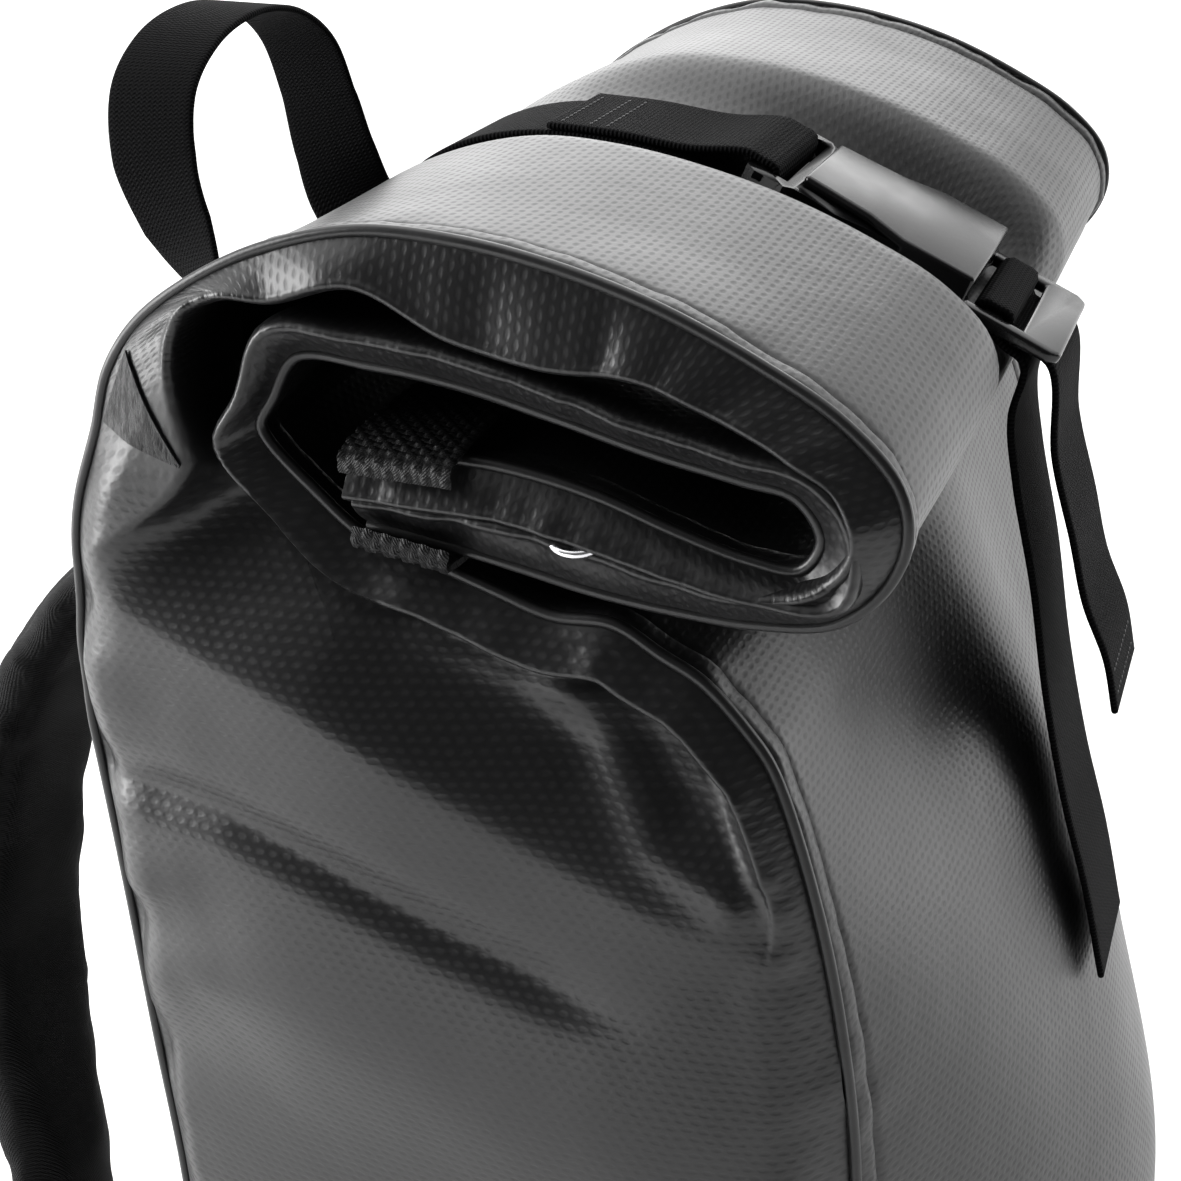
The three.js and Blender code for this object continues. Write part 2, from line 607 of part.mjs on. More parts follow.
function buckleMale() {
  const inner = halfHeight - buckleWall - buckleFit;
  const frame = mirrored([
    [halfWidth - buckleWall, maleStart],
    [halfWidth, maleStart + buckleWall],
    [halfWidth, halfLength - buckleWall],
    [halfWidth - buckleWall, halfLength],
  ]);
  const prong = [
    [0.9 * halfWidth, maleStart + 1],
    [0.98 * halfWidth, 0.62 * maleStart],
    [0.86 * halfWidth, 0.2 * maleStart],
    [0.72 * halfWidth, windowEnd - slotWidth],
    [0.6 * halfWidth, windowEnd],
    [0.62 * halfWidth, maleStart + 1],
  ];
  let solid = plateOf(frame, -inner, inner);
  for (const hand of [1, -1])
    solid = solid.add(plateOf(hand > 0 ? prong : prong.map(([x, y]) => [-x, y]).reverse(), -inner, inner));
  solid = solid.add(block(barWidth, maleStart - windowEnd, 2 * inner, 0, (maleStart + windowEnd) / 2 + 1, 0));
  const slotMiddle = halfLength - barWidth - slotWidth / 2;
  return geometryOf(solid.subtract(block(strapSlot, slotWidth, buckleHeight, 0, slotMiddle, 0)));
}
add("buckle_female", buckleFemale(), plastic, buckle);
add("buckle_male", buckleMale(), plastic, buckle);

// The closure strap from the back over the roll, round the male half's bar and back to its stitching.
const strapBack = [];
for (let index = sideTop - 2; index <= sideTop + 6; index++)
  strapBack.push(backMiddle.at(index).addScaledVector(backOut(backMiddle, index), strapLift));
const webbingLift = webbingWall / 2 + seamGap;

// Webbing half round a bar in a frame: from below it, up the slot on the side given by 1 or -1, and over it.
function roundBar(inFrame, middle, towards, low, high) {
  const edge = middle + (towards * barWidth) / 2;
  const near = edge + (towards * webbingLift) / 2;
  const far = edge + towards * 1.4 * webbingLift;
  return [
    inFrame(middle, low - webbingLift),
    inFrame(near, low - webbingLift),
    inFrame(far, low + webbingLift / 2),
    inFrame(far, high - webbingLift / 2),
    inFrame(near, high + webbingLift),
    inFrame(middle, high + webbingLift),
  ];
}
const maleHalf = halfHeight - buckleWall - buckleFit;
const returned = (index, extra) =>
  backMiddle.at(index).addScaledVector(backOut(backMiddle, index), strapLift + webbingWall + seamGap + extra);
strapBack.push(
  inBuckle(halfLength + 3, -maleHalf - 1.4 * webbingLift),
  ...roundBar(inBuckle, halfLength - barWidth / 2, -1, -maleHalf, maleHalf),
  inBuckle(halfLength + webbingWall, maleHalf + webbingLift),
  returned(sideTop + 6, 1.4),
  returned(sideTop + 5.2, 0),
  returned(sideTop + 4.4, 0),
);
add("closure_strap_back", strapOf(strapBack, acrossX, closureWidth, webbingWall), webbing);

// The closure strap down the front, from its sewn foot up to the ladder, round its bar and down again as a free
// tail. Feet and tail are heights and depths as shares of bodyHeight and bagDepth.
const frontStrapFoot = [
  [-0.724, 0.62],
  [-0.683, 0.685],
  [-0.636, 0.747],
  [-0.592, 0.818],
  [-0.556, 0.891],
  [-0.517, 0.955],
  [-0.501, 0.995],
];
const frontStrapTail = [
  [-0.565, 0.975],
  [-0.602, 0.925],
  [-0.63, 0.885],
  [-0.668, 0.85],
  [-0.69, 0.815],
];
const strapRow = ([y, h]) => yz(y * bagDepth, h * bodyHeight);
const ladderBar = bodyEnd - slotWidth - barWidth / 2;
const strapFront = [
  ...frontStrapFoot.map(strapRow),
  inBuckle(ladderBar - 2 * barWidth - webbingLift, ladderLow - 4 * webbingLift),
  inBuckle(ladderBar - barWidth, ladderLow - 2.7 * webbingLift),
  ...roundBar(inBuckle, ladderBar, 1, ladderLow, ladderHigh),
  ...roundBar(inBuckle, ladderBar, -1, ladderLow, ladderHigh).slice(2, 5).reverse(),
  inBuckle(ladderBar - barWidth - webbingLift / 2, ladderLow - webbingLift),
  inBuckle(-halfLength + webbingLift, ladderLow - 1.4 * webbingLift),
  ...frontStrapTail.map(strapRow),
];
add("closure_strap_front", strapOf(strapFront, acrossX, closureWidth, webbingWall), webbing);

// The back pad lies on the outside of the back cloth.
const padRows = [1.3, 1.6, 2, 3, 4, 5, 6, 7, 8, 8.8, 9.4];
const padShares = [0, 0.05, 0.2, 0.5, 0.8, 0.95, 1];
const padLift = clothWall / 2 + seamGap + padWall / 2;
const padEdge = 0.35;
function padPoint(index, share) {
  const x = (share - 0.5) * padWidth;
  return backPoint(index, x / (seamWidthAt(index) - clothEdge)).addScaledVector(backOut(backMiddle, index), padLift);
}
const padThickness = (v, u) =>
  padWall * lerp(padEdge, 1, Math.min(1, Math.sqrt(Math.sin(Math.PI * lerp(0.02, 0.98, u))), Math.sqrt(Math.sin(Math.PI * lerp(0.02, 0.98, v))) * 1.3));
add("back_pad", sheetOf(padRows.length - 1, padShares.length - 1,
  (v, u, i, j) => {
    const wall = padThickness(v, padShares[j]);
    return padPoint(padRows[i], padShares[j]).addScaledVector(backOut(backMiddle, padRows[i]), (wall - padWall) / 2);
  },
  (v, u) => padThickness(v, padShares[Math.round(u * (padShares.length - 1))])), padCloth);

// The haul handle: webbing sewn flat to the back cloth at both ends, turned on edge where it stands up.
// lean, rise and span are shares of haulLean, haulRise and haulSpan, and turn is that of a quarter turn.
const haul = named(["lean", "rise", "span", "turn"], [
  [0.0, 0.0, 1.0, 0.0],
  [0.01, 0.04, 1.0, 0.05],
  [0.25, 0.13, 1.0, 0.3],
  [0.6, 0.23, 1.01, 0.65],
  [0.8, 0.42, 1.05, 0.9],
  [0.92, 0.62, 1.06, 1.0],
  [0.98, 0.82, 0.92, 1.0],
  [1.0, 0.95, 0.55, 1.0],
  [1.0, 1.0, 0.0, 1.0],
]);
const haulRow = 15.4;
const haulFoot = backSeam.at(haulRow).addScaledVector(backOut(backSeam, haulRow), strapLift);
function haulPath() {
  const foot = [haulRow - 2, haulRow - 1].map((index) => ({
    place: backSeam.at(index).addScaledVector(backOut(backSeam, index), strapLift).setX(-haulSpan / 2),
    turn: 0,
  }));
  const rise = haul.map((row) => ({
    place: haulFoot.clone().add(new THREE.Vector3((-row.span * haulSpan) / 2, row.lean * haulLean, row.rise * haulRise)),
    turn: row.turn,
  }));
  const near = [...foot, ...rise];
  const far = near.slice(0, -1).reverse().map(({ place, turn }) => ({
    place: place.clone().setX(-place.x),
    turn: 2 - turn,
  }));
  return [...near, ...far];
}
function turnedStrap(path, width, wall) {
  const at = (i) => path[Math.min(Math.max(i, 0), path.length - 1)].place;
  return sheetOf(path.length - 1, 1, (v, u, i) => {
    const along = at(i + 1).clone().sub(at(i - 1)).normalize();
    const turn = (path[i].turn * Math.PI) / 2;
    const flat = new THREE.Vector3(Math.cos(turn), Math.sin(turn), 0);
    const across = flat.addScaledVector(along, -flat.dot(along)).normalize();
    return path[i].place.clone().addScaledVector(across, (u - 0.5) * width);
  }, wall);
}
add("haul_handle", turnedStrap(haulPath(), haulWidth, webbingWall), webbing);

// The shoulder straps: a thin tongue sewn to the back above the pad, then the padded strap that hangs behind it.
// out, down and spread are shares of shoulderStandOff, shoulderReach and the change from shoulderTop to
// shoulderFoot. thick and wide are shares of the strap's own wall and width.
const shoulderColumns = ["out", "down", "spread", "thick", "wide"];
const shoulder = named(shoulderColumns, [
  [0.0, 0.0, 0.0, 0.0, 0.96],
  [0.0, 0.04, 0.0, 0.0, 0.98],
  [0.13, 0.066, 0.02, 0.55, 1.0],
  [0.32, 0.094, 0.06, 1.0, 1.0],
  [0.55, 0.144, 0.14, 1.0, 1.0],
  [0.75, 0.22, 0.24, 1.0, 1.0],
  [0.9, 0.328, 0.36, 1.0, 1.0],
  [0.98, 0.44, 0.5, 1.0, 0.98],
  [1.0, 0.58, 0.66, 1.0, 0.94],
  [0.92, 0.74, 0.82, 1.0, 0.86],
  [0.8, 0.88, 0.93, 0.9, 0.74],
  [0.7, 1.0, 1.0, 0.5, 0.56],
]);
const shoulderShares = [0, 0.07, 0.3, 0.7, 0.93, 1];
const shoulderRow = 12.7;
const shoulderSeat = backSeam.at(shoulderRow);
const shoulderY = shoulderSeat.y + clothWall / 2 + shoulderTongue / 2 + 4 * seamGap;
const shoulderPlace = (row, hand) => new THREE.Vector3(
  hand * lerp(shoulderTop, shoulderFoot, row.spread) / 2,
  shoulderY + row.out * shoulderStandOff,
  shoulderSeat.z - row.down * shoulderReach,
);
const roundEdge = (u) => lerp(0.45, 1, Math.sqrt(Math.sin(Math.PI * lerp(0.02, 0.98, u))));
for (const [word, hand] of hands) {
  const strap = sheetOf(shoulder.length - 1, shoulderShares.length - 1, (v, u, i, j) => {
    const row = shoulder[i];
    const point = shoulderPlace(row, hand);
    point.x += (shoulderShares[j] - 0.5) * shoulderWidth * row.wide;
    return point;
  }, (v, u) => {
    const wall = shoulderWall * shoulder[Math.round(v * (shoulder.length - 1))].thick;
    return Math.max(shoulderTongue, wall * roundEdge(shoulderShares[Math.round(u * (shoulderShares.length - 1))]));
  });
  add("shoulder_strap_" + word, strap, padCloth);
}

// Below each shoulder strap a ladder adjuster, and webbing from the bag's foot up round its bar, with a free tail.
const strapEnd = shoulderPlace(shoulder[shoulder.length - 1], 1);
const lowerFoot = [0.3, 0.85].map((index) => backPoint(index, 0).addScaledVector(backOut(backSeam, index), strapLift));
const lowerDirection = strapEnd.clone().setX(0).sub(lowerFoot[1].clone().setX(0)).normalize();
const lowerOut = new THREE.Vector3(0, lowerDirection.z, -lowerDirection.y);
const adjusterWidth = lowerWidth + 2 * (buckleFit + buckleWall);
const adjusterLength = 2 * slotWidth + 3 * barWidth;
const adjusterMiddle = strapEnd.clone().setX(0).addScaledVector(lowerDirection, -adjusterLength / 2 - 2.5 * seamGap);
function adjuster() {
  let solid = plateOf(mirrored([
    [adjusterWidth / 2, -adjusterLength / 2],
    [adjusterWidth / 2, adjusterLength / 2],
  ]).reverse(), -adjusterWall / 2, adjusterWall / 2);
  for (const hand of [1, -1])
    solid = solid.subtract(block(lowerWidth + 2 * buckleFit, slotWidth, 2 * adjusterWall, 0, (hand * (slotWidth + barWidth)) / 2, 0));
  return geometryOf(solid);
}
const lowerSpread = shoulderFoot / 2;
const inAdjuster = (along, out) =>
  adjusterMiddle.clone().addScaledVector(lowerDirection, along).addScaledVector(lowerOut, out);
const adjusterHalf = adjusterWall / 2;
const lowerPath = [
  ...lowerFoot,
  inAdjuster(-adjusterLength / 2 - lowerTail / 6, -adjusterHalf - 5 * webbingLift),
  inAdjuster(-barWidth, -adjusterHalf - 3.2 * webbingLift),
  ...roundBar(inAdjuster, 0, 1, -adjusterHalf, adjusterHalf),
  ...roundBar(inAdjuster, 0, -1, -adjusterHalf, adjusterHalf).slice(2, 5).reverse(),
  inAdjuster(-barWidth - webbingLift / 2, -adjusterHalf - webbingLift),
  inAdjuster(-adjusterLength / 2 - lowerTail / 3, -adjusterHalf - 0.5 * webbingLift),
  inAdjuster(-adjusterLength / 2 - lowerTail, adjusterHalf + 3 * webbingLift),
];
for (const [word, hand] of hands) {
  const frame = add("strap_adjuster_" + word, adjuster(), plastic);
  frame.position.copy(adjusterMiddle).setX(hand * lowerSpread);
  frame.rotation.x = Math.atan2(lowerDirection.z, lowerDirection.y);
  const path = lowerPath.map((p) => p.clone().setX(hand * lowerSpread));
  add("lower_webbing_" + word, strapOf(path, acrossX, lowerWidth, webbingWall), webbing);
}

export default bag;
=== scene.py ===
# Rolltop backpack: the looks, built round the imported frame. Sizes in the tables are millimetres or shares.
import json
import math

import bmesh
import bpy
import numpy as np
from mathutils import Matrix, Vector


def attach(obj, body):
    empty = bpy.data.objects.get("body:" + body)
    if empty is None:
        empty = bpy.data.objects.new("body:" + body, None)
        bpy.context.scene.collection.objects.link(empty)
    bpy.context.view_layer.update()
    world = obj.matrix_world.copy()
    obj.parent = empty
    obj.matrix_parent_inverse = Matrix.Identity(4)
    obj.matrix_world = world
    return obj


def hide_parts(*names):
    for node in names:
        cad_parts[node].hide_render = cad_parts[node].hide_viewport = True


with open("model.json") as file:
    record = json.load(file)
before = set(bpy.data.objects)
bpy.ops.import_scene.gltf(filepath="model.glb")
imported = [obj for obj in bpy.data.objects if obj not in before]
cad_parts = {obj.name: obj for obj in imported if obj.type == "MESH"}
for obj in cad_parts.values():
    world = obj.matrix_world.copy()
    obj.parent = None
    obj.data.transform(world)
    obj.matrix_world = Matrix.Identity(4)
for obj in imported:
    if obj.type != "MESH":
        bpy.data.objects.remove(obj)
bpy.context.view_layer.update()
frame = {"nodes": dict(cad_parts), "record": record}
mm = 0.001

# the bag's own sizes, as the frame has them
bag = {
    "width": 296.0,
    "depth": 180.0,
    "bodyHeight": 422.0,
    "rollHeight": 60.0,
    "foot": 3.5,
    "cloth": 0.9,
    "seamInset": 7.0,
    "gussetReach": 34.0,
    "ridge": 11.0,
    "piping": 2.8,
    "strapWidth": 38.0,
    "pressMargin": 3.0,
    "pressWidth": 34.0,
}
seamX = bag["width"] / 2 - bag["seamInset"]
seamEdge = 0.65
hands = (("left", -1), ("right", 1))

# the bag seen from its end: y and h are shares of the depth and of the heights, as in the frame
sideColumns = ("frontY", "frontH", "belly", "backY", "backH", "crown", "bulge", "width")
sideRows = [
    (-0.444, 0.0, 0.16, 0.444, 0.0, 0.02, 0.0, 0.94),
    (-0.478, 0.071, 0.256, 0.456, 0.071, 0.03, 0.022, 0.985),
    (-0.506, 0.213, 0.33, 0.461, 0.213, 0.033, 0.05, 1.0),
    (-0.517, 0.379, 0.34, 0.472, 0.379, 0.033, 0.06, 1.0),
    (-0.511, 0.545, 0.25, 0.483, 0.545, 0.03, 0.06, 1.0),
    (-0.494, 0.685, 0.167, 0.5, 0.64, 0.025, 0.05, 1.0),
    (-0.467, 0.763, 0.139, 0.511, 0.711, 0.02, 0.044, 1.0),
    (-0.428, 0.836, 0.094, 0.522, 0.777, 0.015, 0.036, 1.0),
    (-0.367, 0.912, 0.061, 0.533, 0.834, 0.01, 0.03, 1.0),
    (-0.339, 0.929, 0.044, 0.539, 0.863, 0.01, 0.026, 1.0),
    (-0.283, 0.953, 0.028, 0.539, 0.889, 0.005, 0.022, 1.0),
    (-0.233, 0.964, 0.017, 0.539, 0.912, 0.0, 0.02, 1.0),
    (-0.178, 0.976, 0.0, 0.533, 0.934, 0.0, 0.016, 1.0),
    (-0.104, 0.975, 0.0, 0.53, 0.953, 0.0, 0.012, 1.0),
    (-0.028, 0.984, 0.0, 0.528, 0.97, 0.0, 0.01, 1.0),
    (0.044, 0.993, 0.0, 0.522, 0.986, 0.0, 0.008, 1.0),
    (0.122, 1.0, 0.0, 0.511, 1.02, 0.0, 0.006, 1.0),
    (0.186, 1.14, 0.0, 0.494, 1.15, 0.0, 0.004, 1.0),
    (0.258, 1.372, 0.0, 0.478, 1.27, 0.0, 0.0, 1.0),
]
# the two layers inside the roll, on to the hem of the mouth
layerColumns = ("y", "h", "middleY", "middleH")
frontLayerRows = [
    (0.239, 1.492, 0.261, 1.53),
    (0.203, 1.658, 0.211, 1.66),
    (0.106, 1.663, 0.111, 1.67),
    (0.000, 1.633, 0.0, 1.617),
    (-0.111, 1.567, -0.111, 1.517),
    (-0.222, 1.492, -0.211, 1.425),
    (-0.322, 1.442, -0.289, 1.35),
    (-0.383, 1.408, -0.344, 1.292),
    (-0.414, 1.267, -0.367, 1.242),
    (-0.392, 1.142, -0.367, 1.158),
    (-0.333, 1.145, -0.322, 1.142),
    (-0.250, 1.205, -0.25, 1.175),
    (-0.156, 1.292, -0.156, 1.25),
    (-0.056, 1.342, -0.056, 1.317),
    (0.056, 1.350, 0.056, 1.37),
    (0.133, 1.350, 0.133, 1.41),
]
backLayerRows = [
    (0.453, 1.492, 0.444, 1.467),
    (0.406, 1.683, 0.4, 1.65),
    (0.328, 1.858, 0.322, 1.825),
    (0.233, 2.000, 0.222, 1.917),
    (0.117, 2.092, 0.1, 1.925),
    (0.000, 2.092, -0.022, 1.867),
    (-0.111, 2.042, -0.144, 1.7),
    (-0.222, 1.950, -0.244, 1.558),
    (-0.333, 1.808, -0.317, 1.458),
    (-0.422, 1.658, -0.378, 1.383),
    (-0.483, 1.475, -0.439, 1.308),
    (-0.496, 1.300, -0.472, 1.2),
    (-0.475, 1.125, -0.467, 1.083),
    (-0.428, 0.999, -0.422, 1.017),
    (-0.344, 0.992, -0.344, 1.0),
    (-0.250, 0.992, -0.25, 1.033),
    (-0.156, 0.995, -0.156, 1.1),
    (-0.067, 1.008, -0.067, 1.15),
    (0.028, 1.050, 0.028, 1.183),
    (0.122, 1.083, 0.122, 1.233),
]


def named(columns, rows):
    return dict(zip(columns, np.array(rows).T))


side = named(sideColumns, sideRows)
frontLayer = named(layerColumns, frontLayerRows)
backLayer = named(layerColumns, backLayerRows)
sideTop = len(sideRows) - 1


def smoothstep(low, high, value):
    t = np.clip((value - low) / (high - low), 0, 1)
    return t * t * (3 - 2 * t)


def mix(a, b, share):
    return a + (b - a) * share


def heightAt(h):
    body = mix(bag["foot"], bag["bodyHeight"], h)
    return np.where(h <= 1, body, bag["bodyHeight"] + (h - 1) * bag["rollHeight"])


def columnAt(table, column, index):
    values = table[column]
    return np.interp(index, np.arange(len(values)), values)


# a smooth line through points, whose whole numbers are the points themselves
class SmoothLine:
    def __init__(self, points):
        points = np.asarray(points, float)
        self.last = len(points) - 1
        self.points = np.vstack([2 * points[0] - points[1], points, 2 * points[-1] - points[-2]])

    def at(self, index):
        index = np.clip(np.asarray(index, float), 0, self.last)
        low = np.minimum(index.astype(int), self.last - 1)
        t = (index - low)[..., None]
        p0, p1, p2, p3 = (self.points[low + k] for k in range(4))
        pairs = ((p0, p1), (p1, p2), (p2, p3))
        d0, d1, d2 = (np.sum((b - a) ** 2, -1, keepdims=True) ** 0.25 for a, b in pairs)
        t1 = ((p1 - p0) / d0 - (p2 - p0) / (d0 + d1) + (p2 - p1) / d1) * d1
        t2 = ((p2 - p1) / d1 - (p3 - p1) / (d1 + d2) + (p3 - p2) / d2) * d1
        return p1 + t1 * t + (3 * (p2 - p1) - 2 * t1 - t2) * t**2 + (2 * (p1 - p2) + t1 + t2) * t**3

    def tangent(self, index):
        step = 0.02
        along = self.at(np.asarray(index, float) + step) - self.at(np.asarray(index, float) - step)
        return along / np.linalg.norm(along, axis=-1, keepdims=True)

    # places at even steps of length, with the length that each stands at
    def even(self, start, stop, step):
        fine = np.linspace(start, stop, 3000)
        pieces = np.linalg.norm(np.diff(self.at(fine), axis=0), axis=1)
        length = np.concatenate([[0], np.cumsum(pieces)])
        places = np.linspace(0, length[-1], max(2, round(length[-1] / step)) + 1)
        return np.interp(places, length, fine), places


def sideLine(columnY, columnH, layer, layerY, layerH, extra=0):
    body = np.column_stack([(side[columnY] + extra) * bag["depth"], heightAt(side[columnH])])
    roll = np.column_stack([layer[layerY] * bag["depth"], heightAt(layer[layerH])])
    return SmoothLine(np.vstack([body, roll]))


frontSeam = sideLine("frontY", "frontH", frontLayer, "y", "h")
frontMiddle = sideLine("frontY", "frontH", frontLayer, "middleY", "middleH", -side["belly"])
backSeam = sideLine("backY", "backH", backLayer, "y", "h")
backMiddle = sideLine("backY", "backH", backLayer, "middleY", "middleH", side["crown"])


# the way out of the bag, square to a line of its front (1) or of its back (-1)
def outOf(line, index, face):
    t = line.tangent(index)
    return np.stack([np.zeros_like(t[..., 0]), -face * t[..., 1], face * t[..., 0]], -1)


def onSide(line, index, x):
    p = line.at(index)
    return np.stack([np.broadcast_to(x, p[..., 0].shape), p[..., 0], p[..., 1]], -1)


def seamWidthAt(index):
    return seamX * np.where(index < sideTop, columnAt(side, "width", index), 1)


# small creases square to a seam: each has its own place, width, reach and strength
def puckers(seed, length, pitch, strength):
    draw = np.random.default_rng(seed)
    count = int(length / pitch)
    places = (np.arange(count) + draw.uniform(0.1, 0.9, count)) * pitch
    widths = draw.uniform(0.22, 0.42, count) * pitch
    reaches = draw.uniform(5, 15, count)
    heights = draw.uniform(0.25, 1.0, count) * strength * draw.choice([-1, -1, 1], count)

    def relief(along, fromSeam):
        total = np.zeros(np.broadcast(along, fromSeam).shape)
        for place, width, reach, height in zip(places, widths, reaches, heights):
            near = np.exp(-(((along - place) / width) ** 2))
            total += height * near * np.exp(-((fromSeam / reach) ** 2)) * smoothstep(0, 1.6, fromSeam)
        return total

    return relief


# soft uneven swell of a cloth, from a few broad waves
def swell(seed, size, strength):
    draw = np.random.default_rng(seed)
    waves = []
    for _ in range(9):
        pitch = draw.uniform(0.5, 1.3) / size
        waves.append((pitch, draw.uniform(0, math.tau), draw.uniform(0, math.tau)))

    def relief(u, v):
        total = 0
        for pitch, turn, phase in waves:
            total = total + np.sin((u * math.cos(turn) + v * math.sin(turn)) * pitch * math.tau + phase)
        return total * strength / 3

    return relief


def collectionLink(obj):
    bpy.context.scene.collection.objects.link(obj)
    return obj


# a mesh from a grid of places in millimetres, with the cloth's own lengths as its UV map in metres
def gridMesh(name, places, acrossLength, alongLength):
    rows, columns = places.shape[:2]
    bm = bmesh.new()
    bm.loops.layers.uv.new("UVMap")
    bmesh.ops.create_grid(bm, x_segments=columns - 1, y_segments=rows - 1, size=0.5)
    mesh = bpy.data.meshes.new(name)
    bm.to_mesh(mesh)
    bm.free()
    co = np.zeros(len(mesh.vertices) * 3)
    mesh.vertices.foreach_get("co", co)
    co = co.reshape(-1, 3)
    column = np.rint((co[:, 0] + 0.5) * (columns - 1)).astype(int)
    row = np.rint((co[:, 1] + 0.5) * (rows - 1)).astype(int)
    mesh.vertices.foreach_set("co", (places[row, column] * mm).ravel())
    loopVertex = np.zeros(len(mesh.loops), int)
    mesh.loops.foreach_get("vertex_index", loopVertex)
    u = np.broadcast_to(acrossLength, (rows, columns))[row, column][loopVertex] * mm
    v = np.broadcast_to(alongLength, (rows, columns))[row, column][loopVertex] * mm
    mesh.uv_layers["UVMap"].data.foreach_set("uv", np.column_stack([u, v]).ravel())
    mesh.shade_smooth()
    mesh.update()
    return mesh


# the finished mesh of an object whose modifiers are then applied
def applied(obj, sharpAngle=None):
    depsgraph = bpy.context.evaluated_depsgraph_get()
    mesh = bpy.data.meshes.new_from_object(obj.evaluated_get(depsgraph))
    mesh.name = obj.name
    obj.modifiers.clear()
    obj.data = mesh
    mesh.shade_smooth()
    if sharpAngle is not None:
        mesh.set_sharp_from_angle(angle=math.radians(sharpAngle))
    return obj


def finishPiece(obj, material, replaced=()):
    if material is not None:
        obj.data.materials.clear()
        obj.data.materials.append(material)
    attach(obj, "root")
    if replaced:
        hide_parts(*replaced)
    return obj


def sheetPiece(name, places, acrossLength, alongLength, wall, material, replaced=(), smooth=0):
    obj = collectionLink(bpy.data.objects.new(name, gridMesh(name, places, acrossLength, alongLength)))
    if smooth:
        sub = obj.modifiers.new("smooth", "SUBSURF")
        sub.levels = sub.render_levels = smooth
    thick = obj.modifiers.new("wall", "SOLIDIFY")
    thick.thickness = wall * mm
    thick.offset = 0
    thick.use_quality_normals = True
    applied(obj, 50)
    return finishPiece(obj, material, replaced)


# a round cord along places in millimetres, with closed ends
def cordPiece(name, places, diameter, material, replaced=()):
    curve = bpy.data.curves.new(name, "CURVE")
    curve.dimensions = "3D"
    curve.bevel_depth = diameter / 2 * mm
    curve.bevel_resolution = 3
    curve.use_fill_caps = True
    spline = curve.splines.new("POLY")
    spline.points.add(len(places) - 1)
    flat = np.column_stack([places * mm, np.ones(len(places))])
    spline.points.foreach_set("co", flat.ravel())
    made = bpy.data.objects.new(name + "_line", curve)
    collectionLink(made)
    depsgraph = bpy.context.evaluated_depsgraph_get()
    mesh = bpy.data.meshes.new_from_object(made.evaluated_get(depsgraph))
    bpy.data.objects.remove(made)
    mesh.name = name
    mesh.shade_smooth()
    return finishPiece(collectionLink(bpy.data.objects.new(name, mesh)), material, replaced)


# small round-ended stitches lying along a line of places, each pressed a little into the cloth
def stitchPiece(name, lines, material, pitch=3.2, size=(2.5, 0.75, 0.5)):
    bm = bmesh.new()
    for places, outs in lines:
        pieces = np.linalg.norm(np.diff(places, axis=0), axis=1)
        length = np.concatenate([[0], np.cumsum(pieces)])
        for start in np.arange(pitch / 2, length[-1] - pitch / 2, pitch):
            ends = [start - size[0] / 2, start, start + size[0] / 2]
            a, middle, b = (np.array([np.interp(s, length, places[:, k]) for k in range(3)]) for s in ends)
            out = Vector([np.interp(start, length, outs[:, k]) for k in range(3)]).normalized()
            along = Vector(b - a).normalized()
            across = out.cross(along).normalized()
            turned = Matrix((along, across, along.cross(across))).transposed().to_4x4()
            scaled = Matrix.Diagonal((size[0] / 2 * mm, size[1] / 2 * mm, size[2] / 2 * mm, 1))
            place = Matrix.Translation(Vector(middle) * mm)
            bmesh.ops.create_icosphere(bm, subdivisions=1, radius=1.0, matrix=place @ turned @ scaled)
    mesh = bpy.data.meshes.new(name)
    bm.to_mesh(mesh)
    bm.free()
    mesh.shade_smooth()
    return finishPiece(collectionLink(bpy.data.objects.new(name, mesh)), material)


